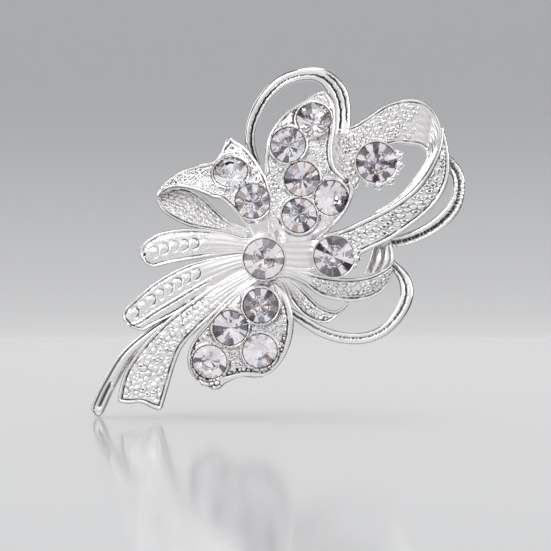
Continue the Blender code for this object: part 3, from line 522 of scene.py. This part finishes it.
def tail_marks(seed, rim_width, rim_height, smooth_from, smooth_to, spacing, radius, lane=0.0, hole=None):
    """Crescents down the lane of a tail, a fine stipple, and a narrow second lane where lane is set."""

    def relief(sheet):
        show = smooth(smooth_from, smooth_to, sheet.s)
        inner = smooth(rim_width + 0.08, rim_width + 0.3, sheet.outline)
        off = sheet.v - (0.5 + lane / 2) * sheet.width
        marks = ring_marks(sheet.s, off, spacing, radius, smooth_to - 1.0, sheet.length - 1.1, seed)
        apart = smooth(radius * 1.1, radius * 1.5, np.abs(off))
        field = granules(sheet.s, sheet.middle, 0.42, seed, 0.3, 0.06) * (0.3 + 0.7 * apart)
        border = rim(sheet.outline, rim_width, rim_height)
        if lane:
            divide = sheet.v - lane * sheet.width
            border += 0.12 * bump(divide, 0.14) - 0.14 * bump(divide + 0.26, 0.09)
        worked = inner * (marks * (1 - apart) + field)
        out = show * worked + (1 - show) * sheet.flutes(0.02, 5) + border * (0.2 + 0.8 * show)
        return out + pit(sheet, *hole) if hole else out

    return relief


def double_ridge(groove_at, groove_width, groove_depth, ridge=0.35, beads=0.0, second=None, depths=None):
    """Two rounded ridges with a beaded groove between them, and a second groove over part of the length.

    Second holds that one's place as a share of the width, and where it begins and ends. Depths holds lengths
    along the wire and the share of the first groove's depth at each: beads take its place."""

    def relief(sheet):
        share = sheet.share
        near = dome(2 * np.clip(share / groove_at, 0, 1) - 1) * groove_at
        far = dome(2 * np.clip((share - groove_at) / (1 - groove_at), 0, 1) - 1) * (1 - groove_at)
        out = 2 * ridge * np.where(share < groove_at, near, far)
        away = (share - groove_at) * sheet.width
        jag = 0.03 * np.sin(sheet.s * 5.1) + 0.02 * np.sin(sheet.s * 12.7)
        depth = np.interp(sheet.s, *depths) if depths else 1.0
        bead = beads * (1.15 - depth) if depths else beads
        out -= groove_depth * depth * bump(away + jag, groove_width)
        out += bead * granules(sheet.s, away, 0.42, 51, 0.2, 1.0) * bump(away, groove_width + 0.16)
        if second:
            where, begin, end = second
            line = bump((share - where) * sheet.width + jag, 0.12)
            out -= 0.45 * line * smooth(begin, begin + 1.5, sheet.s) * smooth(end, end - 1.5, sheet.s)
        return out

    return relief


def half_round(height, groove):
    """A smooth rounded stem with a fine line along one side and a deeper channel near its tip."""

    def relief(sheet):
        tip = dome(1 - np.clip(sheet.end / 0.8, 0, 1))
        line = groove * bump(sheet.share - 0.8, 0.06) * smooth(0.6, 1.6, sheet.end)
        channel = bump(sheet.share - 0.45, 0.11) * smooth(0.9, 1.7, sheet.end) * smooth(5.6, 4.2, sheet.end)
        return height * dome(2 * sheet.share - 1) * tip - line - 1.1 * groove * channel

    return relief


def petal_relief(seed, near_rim, far_rim, free_from=0.0, worn_from=None, hole=None):
    """Fine granulation inside a raised border that starts where the petal stands free.

    Past worn_from the field's edge is pitted, and the outer corner of the foot is lumpy."""

    def relief(sheet):
        x, z = sheet.flat[..., 0], sheet.flat[..., 1]
        near = sheet.v / near_rim + 3.0 * smooth(free_from, free_from - 1.5, sheet.s)
        edge = np.minimum(np.minimum(near, (sheet.width - sheet.v) / far_rim), sheet.end / near_rim)
        show = smooth(1.5, 4.0, sheet.s)
        field = granules(x, z, 0.6, seed, 0.6, 0.13) * smooth(1.1, 1.5, edge)
        border = rim(edge * 0.5, 0.5, 0.2)
        if worn_from:
            beads = granules(x, z, 0.55, seed + 2, 0.0, 1.0)
            worn = smooth(worn_from, worn_from + 1.5, sheet.s)
            band = smooth(0.95, 1.15, edge) * smooth(2.3, 1.6, edge) * worn
            field -= 0.4 * band * smooth(0.45, 0.1, beads)
            corner = smooth(0.62, 0.72, sheet.share) * smooth(1.3, 0.9, sheet.end)
            border += 0.25 * corner * (granules(x, z, 0.62, seed + 4, 0.0, 1.0) - 0.4)
        out = show * field + border * (0.3 + 0.7 * show)
        return out + pit(sheet, *hole) if hole else out

    return relief


# Each warp moves a sheet's end up or down, in mm.


def wavy_foot(sheet):
    """Lifts the middle of the lower petal's foot and lets its outer corner hang."""
    wave = 0.4 * bump(sheet.share - 0.32, 0.2) - 0.75 * bump(sheet.share - 0.82, 0.14)
    return wave * smooth(3.2, 0.2, sheet.end)


def notched_end(sheet):
    """Draws in the middle of the long tail's end."""
    return 0.5 * bump(sheet.share - 0.45, 0.26) * smooth(2.6, 0.0, sheet.end)


# ---------------------------------------------------------------- the small stones' seats


def stone_matrix(x, z, height, right, up, turn):
    """A stone's place in mm, with its axis along local Z."""
    lean = Matrix.Rotation(math.radians(right), 4, "Z") @ Matrix.Rotation(math.radians(90 - up), 4, "X")
    place = Matrix.Translation((x, -height - BAR_FACE, z))
    return place @ lean @ Matrix.Rotation(math.radians(turn), 4, "Z")


def height_at(sheet, x, z):
    """The height of the surface at its point nearest to x, z."""
    d = np.hypot(sheet.flat[..., 0] - x, sheet.flat[..., 1] - z)
    return float(sheet.flat[..., 2].ravel()[np.argmin(d)])


def pocket_height(rho):
    """Height of a stone's pocket and its thin collar at a distance from the stone's axis."""
    pocket = -0.12 - 0.86 * SMALL_STONE * np.clip(1 - rho / (SMALL_STONE + 0.05), 0, 1)
    collar = 0.1 * dome((rho - SMALL_STONE - 0.2) / 0.14)
    return np.where(rho < SMALL_STONE + 0.06, pocket, collar)


def boss_height(rho):
    """Height of the boss behind a stone at a distance from the stone's axis."""
    return -0.88 * SMALL_STONE - 0.45 + 0.4 * np.clip(rho / BOSS_RADIUS, 0, 1) ** 6


def stamp_seats(points, places, back, border):
    """Presses each stone's pocket into a front, or pushes the boss behind it out of a back.

    The border is 1 where a seat is whole, and 0 where the surface stays as it is."""
    reach, blend = (BOSS_RADIUS, 0.25) if back else (SEAT_RADIUS, 0.3)
    best = np.full(points.shape[:2], 1e9)
    moved = points.copy()
    for place in places:
        inverse = np.array(place.inverted())
        axis = np.array(place)[:3, 2]
        local = points @ inverse[:3, :3].T + inverse[:3, 3]
        rho = np.hypot(local[..., 0], local[..., 1])
        level = local[..., 2]
        target = np.minimum(boss_height(rho), level) if back else pocket_height(rho)
        change = (target - level) * (1 - smooth(reach, reach + blend, rho)) * border
        near = rho < best
        inside = near & (rho < reach + 0.3)
        moved = np.where(inside[..., None], points + change[..., None] * axis, moved)
        best = np.where(near, rho, best)
    return moved


# ---------------------------------------------------------------- meshes


def link(name, data):
    """A new object in the scene."""
    obj = bpy.data.objects.new(name, data)
    bpy.context.scene.collection.objects.link(obj)
    return obj


def in_metres(place):
    """A matrix in mm as one in metres, for points in mm."""
    return Matrix.Diagonal((MM, MM, MM, 1.0)) @ place


def grid_faces(index, flip):
    """Four-sided faces between the rows of a grid of vertex numbers."""
    quad = np.stack([index[:-1, :-1], index[:-1, 1:], index[1:, 1:], index[1:, :-1]], axis=-1).reshape(-1, 4)
    return quad[:, ::-1] if flip else quad


def wall_faces(first, second, flip):
    """Four-sided faces between two lines of vertex numbers."""
    quad = np.stack([first[:-1], first[1:], second[1:], second[:-1]], axis=-1)
    return quad[:, ::-1] if flip else quad


def closed_faces(front, index):
    """The four-sided faces of a front grid, the same grid behind it, and the walls round both."""
    count = index.size
    flip = np.cross(front[0, 1] - front[0, 0], front[1, 0] - front[0, 0])[1] > 0
    faces = [grid_faces(index, flip), grid_faces(index + count, not flip)]
    for side, turn in ((index[:, 0], False), (index[:, -1], True), (index[0], True), (index[-1], False)):
        faces.append(wall_faces(side, side + count, turn != flip))
    return np.vstack(faces)


def fill_mesh(name, verts, faces):
    """A smooth-shaded mesh of four-sided faces."""
    data = bpy.data.meshes.new(name)
    data.vertices.add(len(verts))
    data.vertices.foreach_set("co", verts.astype(np.float32).ravel())
    data.loops.add(len(faces) * 4)
    data.loops.foreach_set("vertex_index", faces.astype(np.int32).ravel())
    data.polygons.add(len(faces))
    data.polygons.foreach_set("loop_start", np.arange(0, len(faces) * 4, 4, dtype=np.int32))
    data.update(calc_edges=True)
    data.validate()
    data.polygons.foreach_set("use_smooth", np.ones(len(data.polygons), bool))
    return data


def mark_sharp(data, index):
    """Sharp edges round the back, and round both end rows."""
    count = index.size
    ends = np.concatenate([index[0], index[-1]])
    around_back = np.zeros(2 * count, bool)
    around_back[np.concatenate([index[:, 0], index[:, -1], ends]) + count] = True
    front_end = np.zeros(2 * count, bool)
    front_end[ends] = True
    pairs = np.empty(len(data.edges) * 2, np.int32)
    data.edges.foreach_get("vertices", pairs)
    pairs = pairs.reshape(-1, 2)
    sharp = around_back[pairs].all(axis=1) | front_end[pairs].all(axis=1)
    data.attributes.new("sharp_edge", "BOOLEAN", "EDGE").data.foreach_set("value", sharp)


def build_ribbon(name, sheet, depth, relief, material, places):
    """A closed ribbon: the worked front, straight cast walls and a plain, slightly hollowed back."""
    move = relief(sheet)
    front = sheet.points + sheet.normals * move[..., None]
    share = np.linspace(0, 1, front.shape[1])
    back = sheet.points.copy()
    back[..., 1] += depth - BACK_HOLLOW * np.clip(1 - (2 * share - 1) ** 4, 0, 1)
    if places:
        front = stamp_seats(front, places, False, smooth(0.25, 0.5, sheet.outline))
        back = stamp_seats(back, places, True, 1.0)
    index = np.arange(move.size).reshape(move.shape)
    verts = np.vstack([front.reshape(-1, 3), back.reshape(-1, 3)]) * MM
    data = fill_mesh(name, verts, closed_faces(front, index))
    mark_sharp(data, index)
    # How far each front point lies in a hollow. The silver is darkened there in patches.
    low = np.concatenate([hollows(move).ravel(), np.zeros(move.size)])
    data.attributes.new("cavity", "FLOAT", "POINT").data.foreach_set("value", low.astype(np.float32))
    data.materials.append(material)
    return link(name, data)


def turned_piece(name, profile, material, place):
    """A turned shape about its local Z from radius and z in mm, top first, placed by a matrix in mm."""
    bm = bmesh.new()
    rings = []
    for r, z in profile:
        angles = [2 * math.pi * k / TURNED_SEGMENTS for k in range(TURNED_SEGMENTS if r else 1)]
        rings.append([bm.verts.new((r * math.cos(a), r * math.sin(a), z)) for a in angles])
    for upper, lower in zip(rings, rings[1:]):
        for k in range(TURNED_SEGMENTS):
            n = (k + 1) % TURNED_SEGMENTS
            corners = [ring[step % len(ring)] for ring, step in ((upper, k), (lower, k), (lower, n), (upper, n))]
            unique = list(dict.fromkeys(corners))
            if len(unique) > 2:
                bm.faces.new(unique)
    bmesh.ops.recalc_face_normals(bm, faces=bm.faces)
    bm.transform(in_metres(place))
    data = bpy.data.meshes.new(name)
    bm.to_mesh(data)
    bm.free()
    data.materials.append(material)
    data.shade_smooth()
    data.set_sharp_from_angle(angle=math.radians(38))
    return link(name, data)


def paint_foil_facet(k, seed, dark):
    """A facet's place on the foil's ramp of painted reflections: under 0.5 is bright, and the given share lies
    above it, painted dark or as a coloured glint.
    """
    shade = 0.5 * float(rand(k, seed, 5))
    return 0.5 + shade if float(rand(k, seed, 3)) < dark else shade


def facet_ring(count, radius, z, shift=0.0):
    """Corners evenly round the axis. The shift is in steps from one to the next."""
    angles = [2 * math.pi * (k + shift) / count for k in range(count)]
    return [(radius * math.cos(a), radius * math.sin(a), z) for a in angles]


def stone_facets(seed, dark):
    """A round chaton of radius 1: its corners, its glass faces, its foiled faces and the painted reflections on
    them.
    """
    verts = facet_ring(8, *TABLE_EDGE) + facet_ring(8, *KITE_TIPS, 0.5)
    verts += facet_ring(16, 1.0, GIRDLE) + facet_ring(16, 1.0, -GIRDLE)
    verts += facet_ring(16, *PAVILION_BREAK) + [(0.0, 0.0, CULET)]
    table, kite, upper, lower, pavilion, culet = 0, 8, 16, 32, 48, 64
    glass = [tuple(range(8))]
    for k in range(8):
        n = (k + 1) % 8
        first = upper + 2 * k
        glass.append((table + k, kite + k, table + n))
        glass.append((table + k, kite + (k - 1) % 8, first, kite + k))
        glass.append((kite + k, first, first + 1))
        glass.append((kite + k, first + 1, upper + (2 * k + 2) % 16))
    foil, painted_facets = [], []
    for k in range(16):
        n = (k + 1) % 16
        glass.append((upper + k, lower + k, lower + n, upper + n))
        foil.append((lower + k, pavilion + k, pavilion + n, lower + n))
        foil.append((pavilion + k, culet, pavilion + n))
        outer, inner = (dark, dark * 0.25) if k % 2 else (dark * 0.25, dark)
        painted_facets += [paint_foil_facet(k, seed, outer), paint_foil_facet(k, seed + 9, inner)]
    return verts, glass, foil, painted_facets


def stone_mesh(name, radius, place, seed, dark):
    """A cut stone: a glass crown and girdle over a foiled, faceted pavilion."""
    verts, glass, foil, painted_facets = stone_facets(seed, dark)
    data = bpy.data.meshes.new(name)
    data.from_pydata([Vector(v) * radius for v in verts], [], glass + foil)
    bm = bmesh.new()
    bm.from_mesh(data)
    bmesh.ops.recalc_face_normals(bm, faces=bm.faces)
    bm.transform(in_metres(place))
    bm.to_mesh(data)
    bm.free()
    data.materials.append(GLASS)
    data.materials.append(FOIL)
    data.polygons.foreach_set("material_index", [0] * len(glass) + [1] * len(foil))
    # Each foil facet's painted reflection, as a place on the foil's colour ramp. The glass faces get 0.
    facet = data.attributes.new("facet", "FLOAT", "FACE")
    facet.data.foreach_set("value", [0.0] * len(glass) + painted_facets)
    return link(name, data)


# ---------------------------------------------------------------- materials


def node_material(name):
    """A new material, its node tree and its main shader."""
    mat = bpy.data.materials.new(name)
    mat.use_nodes = True
    return mat, mat.node_tree, mat.node_tree.nodes["Principled BSDF"]


def noise_of(tree, scale, detail=2.0, vector=None):
    """A noise texture's value, over the generated coordinates where no vector is given."""
    node = tree.nodes.new("ShaderNodeTexNoise")
    node.inputs["Scale"].default_value = scale
    node.inputs["Detail"].default_value = detail
    if vector:
        tree.links.new(vector, node.inputs["Vector"])
    return node.outputs["Fac"]


def ramp_of(tree, value, low, high, out_low, out_high, interpolation="LINEAR"):
    """A value carried from low..high over to out_low..out_high."""
    ramp = tree.nodes.new("ShaderNodeMapRange")
    ramp.interpolation_type = interpolation
    ramp.inputs["From Min"].default_value = low
    ramp.inputs["From Max"].default_value = high
    ramp.inputs["To Min"].default_value = out_low
    ramp.inputs["To Max"].default_value = out_high
    tree.links.new(value, ramp.inputs["Value"])
    return ramp.outputs["Result"]


def attribute_of(tree, name):
    """The value of a mesh attribute."""
    node = tree.nodes.new("ShaderNodeAttribute")
    node.attribute_name = name
    return node.outputs["Fac"]


def combine(tree, operation, first, second):
    """First and second, joined by a math operation. Second may be a number."""
    node = tree.nodes.new("ShaderNodeMath")
    node.operation = operation
    tree.links.new(first, node.inputs[0])
    if isinstance(second, float):
        node.inputs[1].default_value = second
    else:
        tree.links.new(second, node.inputs[1])
    return node.outputs["Value"]


def roughen(tree, shader, noise, rough_low, rough_high, bump_strength, bump_height):
    """Lets a noise drive the roughness and a bump of the given height in metres."""
    rough = ramp_of(tree, noise, 0.3, 0.7, rough_low, rough_high)
    tree.links.new(rough, shader.inputs["Roughness"])
    bumper = tree.nodes.new("ShaderNodeBump")
    bumper.inputs["Strength"].default_value = bump_strength
    bumper.inputs["Distance"].default_value = bump_height
    tree.links.new(noise, bumper.inputs["Height"])
    tree.links.new(bumper.outputs["Normal"], shader.inputs["Normal"])


def silver_material(name, roughness, bump_strength, grain, dark, worn_from=0.40):
    """Bright silver plating with a fine cast skin, darkened in patches of the hollows.

    Grain is in lumps per mm. Patches start where a coarse noise passes worn_from."""
    mat, tree, shader = node_material(name)
    coords = tree.nodes.new("ShaderNodeTexCoord")
    mapping = tree.nodes.new("ShaderNodeMapping")
    mapping.inputs["Scale"].default_value = (1 / MM, 1 / MM, 1 / MM)
    tree.links.new(coords.outputs["Object"], mapping.inputs["Vector"])
    space = mapping.outputs["Vector"]
    skin = noise_of(tree, grain, 3.0, space)
    roughen(tree, shader, skin, roughness * 0.75, roughness * 1.3, bump_strength, 0.00005)
    # A coarse noise picks the patches in which the hollows are darkened.
    worn = ramp_of(tree, noise_of(tree, 0.9, 2.0, space), worn_from, worn_from + 0.2, 0.15, 1.0)
    mix = tree.nodes.new("ShaderNodeMix")
    mix.data_type = "RGBA"
    mix.inputs["A"].default_value = (0.85, 0.836, 0.843, 1.0)
    mix.inputs["B"].default_value = (dark, dark, dark * 1.02, 1.0)
    tree.links.new(combine(tree, "MULTIPLY", attribute_of(tree, "cavity"), worn), mix.inputs["Factor"])
    tree.links.new(mix.outputs["Result"], shader.inputs["Base Color"])
    shader.inputs["Metallic"].default_value = 1.0
    return mat


def pin_angle():
    """The pin fitting's turn from +X towards +Z, from its joint's axis."""
    hinge = next(j for j in frame["record"]["behaviour"]["joints"] if j["name"] == "pin_swing")
    return math.atan2(hinge["axis"][0], -hinge["axis"][2])


def steel_material(name, grey, roughness, along, across):
    """Plated steel with drawn lines along the pin fitting. Along and across are in lines per metre."""
    mat, tree, shader = node_material(name)
    coords = tree.nodes.new("ShaderNodeTexCoord")
    mapping = tree.nodes.new("ShaderNodeMapping")
    mapping.vector_type = "TEXTURE"
    mapping.inputs["Rotation"].default_value = (0.0, -pin_angle(), 0.0)
    mapping.inputs["Scale"].default_value = (1 / along, 1 / across, 1 / across)
    tree.links.new(coords.outputs["Object"], mapping.inputs["Vector"])
    lines = noise_of(tree, 1.0, 4.0, mapping.outputs["Vector"])
    roughen(tree, shader, lines, roughness * 0.6, roughness * 1.5, 0.35, 0.00003)
    shader.inputs["Base Color"].default_value = (*grey, 1.0)
    shader.inputs["Metallic"].default_value = 1.0
    return mat


def glass_material(name):
    """Clear glass with traces of polish. Its low refraction keeps the foil's painted dark wedges in sight."""
    mat, tree, shader = node_material(name)
    shader.inputs["Base Color"].default_value = (1.0, 1.0, 1.0, 1.0)
    shader.inputs["IOR"].default_value = 1.38
    shader.inputs["Transmission Weight"].default_value = 1.0
    tree.links.new(ramp_of(tree, noise_of(tree, 900.0), 0.0, 1.0, 0.0, 0.02), shader.inputs["Roughness"])
    return mat


def foil_material(name):
    """Mirror foil behind the glass, each facet with a painted reflection of its own: a bright, dark, brown or
    blue colour.
    """
    mat, tree, shader = node_material(name)
    ramp = tree.nodes.new("ShaderNodeValToRGB")
    ramp.color_ramp.interpolation = "CONSTANT"
    elements = ramp.color_ramp.elements
    for k, (position, colour) in enumerate(PAINTED_FOIL_STOPS):
        element = elements[k] if k < 2 else elements.new(position)
        element.position = position
        element.color = (*colour, 1.0)
    # The painted reflection of each facet becomes the foil's base colour.
    tree.links.new(attribute_of(tree, "facet"), ramp.inputs["Fac"])
    tree.links.new(ramp.outputs["Color"], shader.inputs["Base Color"])
    shader.inputs["Metallic"].default_value = 1.0
    shader.inputs["Roughness"].default_value = 0.02
    return mat


TEXTURED = silver_material("silver_beaded", 0.22, 0.3, 3.5, 0.05, 0.33)
DARK_HOLLOW_SILVER = silver_material("silver_dark_hollows", 0.22, 0.3, 3.5, 0.04, 0.25)
SMOOTH_SILVER = silver_material("silver_smooth", 0.17, 0.15, 2.2, 0.10, -1.0)
SATIN = silver_material("silver_satin", 0.32, 0.3, 4.0, 0.25)
STEEL = steel_material("plated_steel", (0.80, 0.80, 0.80), 0.22, 250.0, 5000.0)
BRIGHT_STEEL = steel_material("bright_steel", (0.86, 0.86, 0.87), 0.12, 200.0, 3000.0)
GLASS = glass_material("stone_glass")
FOIL = foil_material("stone_foil")
NODE_MATERIALS = {"hub": SATIN, "pin": BRIGHT_STEEL, "hinge_rivet": BRIGHT_STEEL}


# ---------------------------------------------------------------- the object


def keep(obj, node):
    """Lets a piece ride on the ornament in place of its CAD node."""
    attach(obj, BODY)
    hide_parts(node)


def make_ribbon(name, stations, depth, crown, relief, material, round_end=0.0, warp=None):
    """A ribbon and the small stones set in it. Depth, crown and round_end are in mm."""
    sheet = Sheet(stations, crown, round_end, warp)
    places = []
    for stone, holder, x, z, right, up, turn, dark in SET_STONES:
        if holder != name:
            continue
        place = stone_matrix(x, z, height_at(sheet, x, z) + STONE_LIFT, right, up, turn)
        places.append(place)
        keep(stone_mesh(stone + "_gem", SMALL_STONE, place, int(stone[-2:]), dark), stone)
    keep(build_ribbon(name + "_worked", sheet, depth, relief, material, places), name)


def make_ribbons():
    """All ribbons, petals and wires."""
    relief = petal_relief(3, 0.45, 0.6, free_from=9.5, hole=((10.3, 9.7), 0.3, 0.6))
    make_ribbon("petal_upper", PETAL_UPPER, 1.2, 0.5, relief, TEXTURED, round_end=0.4)
    relief = petal_relief(5, 0.7, 0.4, worn_from=7.5)
    make_ribbon("petal_lower", PETAL_LOWER, 1.2, 0.5, relief, DARK_HOLLOW_SILVER, round_end=1.2, warp=wavy_foot)
    relief = granulated(11, 0.4, 0.2, 2.0, 5.0, 0.6, end_rim=True, fluted=0.0)
    make_ribbon("loop_left", LOOP_LEFT, 1.1, 0.0, relief, DARK_HOLLOW_SILVER)
    relief = granulated(13, 0.3, 0.12, 1.5, 5.0, 0.6, rings=0.5, flip=True, height=0.12)
    make_ribbon("loop_left_under", LOOP_LEFT_UNDER, 1.0, 0.0, relief, TEXTURED)
    relief = granulated(17, 0.3, 0.12, 0.5, 2.0, 0.7, rings=0.5, until=12.6)
    make_ribbon("loop_right_upper", LOOP_RIGHT_UPPER, 1.1, 0.0, relief, TEXTURED)
    relief = granulated(19, 0.55, 0.2, 6.0, 9.0, 0.92, rings=0.7, flip=True, height=0.2)
    make_ribbon("loop_right_lower", LOOP_RIGHT_LOWER, 1.1, 0.0, relief, DARK_HOLLOW_SILVER)
    relief = granulated(23, 0.45, 0.2, 4.0, 9.0, 0.82, end_rim=True, height=0.16)
    make_ribbon("tail_long", TAIL_LONG, 1.1, 0.1, relief, TEXTURED, round_end=0.45, warp=notched_end)
    relief = tail_marks(29, 0.3, 0.12, 4.0, 8.5, 1.3, 0.64, lane=0.34)
    make_ribbon("tail_middle", TAIL_MIDDLE, 1.1, 0.25, relief, TEXTURED, round_end=1.3)
    relief = tail_marks(31, 0.35, 0.12, 4.0, 7.5, 1.3, 0.66, hole=((-15.1, 0.6), 0.17, 0.35))
    make_ribbon("tail_upper", TAIL_UPPER, 1.1, 0.3, relief, TEXTURED, round_end=1.3)
    relief = granulated(37, 0.4, 0.18, 3.5, 6.0, 0.65, rings=0.5)
    make_ribbon("band_front", BAND_FRONT, 1.1, 0.2, relief, TEXTURED)
    make_ribbon("band_back", BAND_BACK, 0.9, 0.0, half_round(0.25, 0.15), SMOOTH_SILVER)
    relief = granulated(43, 0.3, 0.2, 2.0, 4.0, 0.6, end_rim=True)
    make_ribbon("curl", CURL, 0.9, 0.1, relief, TEXTURED, round_end=0.3)
    relief = double_ridge(0.6, 0.1, 0.42, 0.28, 0.12, (0.28, 17.0, 24.5), TOP_DEPTHS)
    make_ribbon("wire_top", WIRE_TOP, 1.2, 0.1, relief, SMOOTH_SILVER)
    relief = double_ridge(0.48, 0.26, 0.55, 0.3, 0.18)
    make_ribbon("wire_right", WIRE_RIGHT, 1.1, 0.1, relief, SMOOTH_SILVER)
    relief = double_ridge(0.42, 0.1, 0.36, beads=0.16, depths=LOW_DEPTHS)
    make_ribbon("wire_low", WIRE_LOW, 1.1, 0.1, relief, SMOOTH_SILVER)
    make_ribbon("stem", STEM, 0.9, 0.1, half_round(0.5, 0.35), SMOOTH_SILVER)


def cup_profile(height):
    """Radius and z of a cup, from its pocket over the rim and down to its foot. The girdle's z is 0."""
    outside = LARGE_STONE + 0.26
    pocket = -0.88 * LARGE_STONE - 0.06
    return (
        (0.0, pocket),
        (LARGE_STONE * 0.3, pocket),
        (LARGE_STONE + 0.03, -0.45),
        (LARGE_STONE + 0.06, 0.05),
        (LARGE_STONE + 0.12, 0.12),
        (LARGE_STONE + 0.2, 0.12),
        (outside, 0.02),
        (outside + 0.02, -0.5),
        (outside - 0.1, -0.95),
        (outside - 0.3, -1.4),
        (2.35, -height + 1.0),
        (2.1, -height + 0.5),
        (2.2, -height + 0.1),
        (2.1, -height),
        (0.0, -height),
    )


def make_cups():
    """The three large stones and their cups."""
    for index, (stone, cup, x, z, girdle, foot, turn, claws) in enumerate(CUPS):
        place = stone_matrix(x, z, girdle, 0.0, 0.0, turn)
        keep(stone_mesh(stone + "_gem", LARGE_STONE, place, 40 + index, 0.55), stone)
        obj = turned_piece(cup + "_turned", cup_profile(girdle - foot), SMOOTH_SILVER, place)
        if claws:
            add_claws(obj, place, *claws)
        keep(obj, cup)


def add_claws(obj, place, first, last, count):
    """Pointed claws with rounded roots along part of the cup's side, between two angles in degrees."""
    bm = bmesh.new()
    bm.from_mesh(obj.data)
    for k in range(count):
        share = (k + 0.8 * float(rand(k, count, 7))) / count
        angle = math.radians(first + (last - first) * share) - place.to_euler().z
        size = 0.75 + 0.75 * float(rand(k, count, 8))
        spot = Matrix.Rotation(angle, 4, "Z") @ Matrix.Translation((LARGE_STONE + 0.3, 0.0, -0.4))
        root = in_metres(place) @ spot
        cone = root @ Matrix.Rotation(math.radians(62), 4, "Y") @ Matrix.Translation((0.0, 0.0, 0.3 * size))
        bmesh.ops.create_cone(
            bm, segments=12, radius1=0.34 * size, radius2=0.05, depth=0.6 * size, cap_ends=True, matrix=cone
        )
        bead = root @ Matrix.Diagonal((0.42 * size, 0.46 * size, 0.5 * size, 1.0))
        bmesh.ops.create_icosphere(bm, subdivisions=3, radius=1.0, matrix=bead)
    for face in bm.faces:
        face.smooth = True
    bm.to_mesh(obj.data)
    bm.free()
    obj.data.set_sharp_from_angle(angle=math.radians(50))


def dress_frame():
    """New materials for the CAD nodes that stay in sight."""
    for node, obj in frame["nodes"].items():
        if obj.hide_render:
            continue
        for slot in range(len(obj.data.materials)):
            obj.data.materials[slot] = NODE_MATERIALS.get(node, STEEL)


# ---------------------------------------------------------------- stage


def make_floor():
    """A pale disc that curves up into a low surrounding slope, out of sight of mirrors and glass."""
    mat, tree, shader = node_material("pale_floor")
    shader.inputs["Base Color"].default_value = (0.60, 0.61, 0.62, 1.0)
    tree.links.new(ramp_of(tree, noise_of(tree, 40.0), 0.0, 1.0, 0.1, 0.14), shader.inputs["Roughness"])
    profile = []
    for step in range(SLOPE_STEPS, -1, -1):
        a = SLOPE_ANGLE * step / SLOPE_STEPS
        profile.append((FLAT_RADIUS + SLOPE_RADIUS * math.sin(a), FLOOR_Z + SLOPE_RADIUS * (1 - math.cos(a))))
    profile.append((0.0, FLOOR_Z))
    obj = turned_piece("studio_floor", profile, mat, Matrix.Identity(4))
    for face in obj.data.polygons:
        face.use_smooth = True
    obj.visible_glossy = False
    obj.visible_transmission = False
    return obj


def make_world():
    """Even fill for the floor. Mirrors and glass see white screens before and behind, with dark between."""
    studio = bpy.data.worlds.new("studio")
    bpy.context.scene.world = studio
    studio.use_nodes = True
    tree = studio.node_tree
    coords = tree.nodes.new("ShaderNodeTexCoord")
    split = tree.nodes.new("ShaderNodeSeparateXYZ")
    tree.links.new(coords.outputs["Generated"], split.inputs["Vector"])
    depth, rise = split.outputs["Y"], split.outputs["Z"]
    before = ramp_of(tree, depth, -0.2, -0.7, 0.0, 0.92, "SMOOTHSTEP")
    behind = ramp_of(tree, depth, 0.35, 0.8, 0.0, 0.7, "SMOOTHSTEP")
    below = ramp_of(tree, rise, -0.3, -0.8, 0.0, 0.4, "SMOOTHSTEP")
    height = combine(tree, "ADD", ramp_of(tree, rise, -0.7, 0.7, 0.0, 0.45, "SMOOTHSTEP"), 0.65)
    seen = combine(tree, "ADD", combine(tree, "MULTIPLY", before, height), behind)
    seen = combine(tree, "ADD", combine(tree, "ADD", seen, below), 0.05)
    path = tree.nodes.new("ShaderNodeLightPath")
    mix = tree.nodes.new("ShaderNodeMix")
    mix.inputs["B"].default_value = FILL
    tree.links.new(seen, mix.inputs["A"])
    plain = combine(tree, "MAXIMUM", path.outputs["Is Diffuse Ray"], path.outputs["Is Camera Ray"])
    tree.links.new(plain, mix.inputs["Factor"])
    background = tree.nodes["Background"]
    tree.links.new(mix.outputs["Result"], background.inputs["Strength"])
    background.inputs["Color"].default_value = (1.0, 0.995, 1.0, 1.0)


def area(name, place, width, height, radiance, unlit=None):
    """A softbox aimed at the object. The radiance is what a mirror would show, and unlit is left out."""
    data = bpy.data.lights.new(name, "AREA")
    data.shape = "RECTANGLE"
    data.size = width
    data.size_y = height
    data.energy = WATTS_PER_RADIANCE * width * height * radiance
    data.spread = math.radians(100)
    obj = link(name, data)
    obj.location = place
    obj.rotation_euler = (-Vector(place)).to_track_quat("-Z", "Y").to_euler()
    obj.visible_camera = False
    if unlit:
        obj.light_linking.receiver_collection = unlit


def left_unlit(obj):
    """A collection that tells a light to leave this object out."""
    collection = bpy.data.collections.new("left_unlit")
    collection.objects.link(obj)
    collection.collection_objects[0].light_linking.link_state = "EXCLUDE"
    return collection


def make_camera():
    """The camera of the main view, straight in front."""
    data = bpy.data.cameras.new("camera")
    data.lens = 100.0
    data.sensor_width = 36.0
    data.clip_start = 0.01
    data.clip_end = 10.0
    obj = link("camera", data)
    obj.location = (0.00144, -0.1964, -0.00206)
    obj.rotation_euler = (math.pi / 2, 0.0, 0.0)
    bpy.context.scene.camera = obj


make_ribbons()
make_cups()
dress_frame()

floor = left_unlit(make_floor())
make_world()
# Name, place in metres, width, height, radiance, and what the light leaves out.
area("key", (-0.34, -0.40, 0.34), 0.26, 0.26, 1.3, floor)
area("right", (0.46, -0.22, 0.16), 0.2, 0.36, 0.8, floor)
area("top", (0.05, -0.02, 0.5), 0.4, 0.22, 0.9)
area("low_left", (-0.46, -0.2, -0.05), 0.12, 0.30, 0.5, floor)
area("back_left", (-0.36, 0.42, 0.22), 0.3, 0.3, 0.7, floor)
make_camera()
bpy.context.scene.view_settings.view_transform = "Standard"
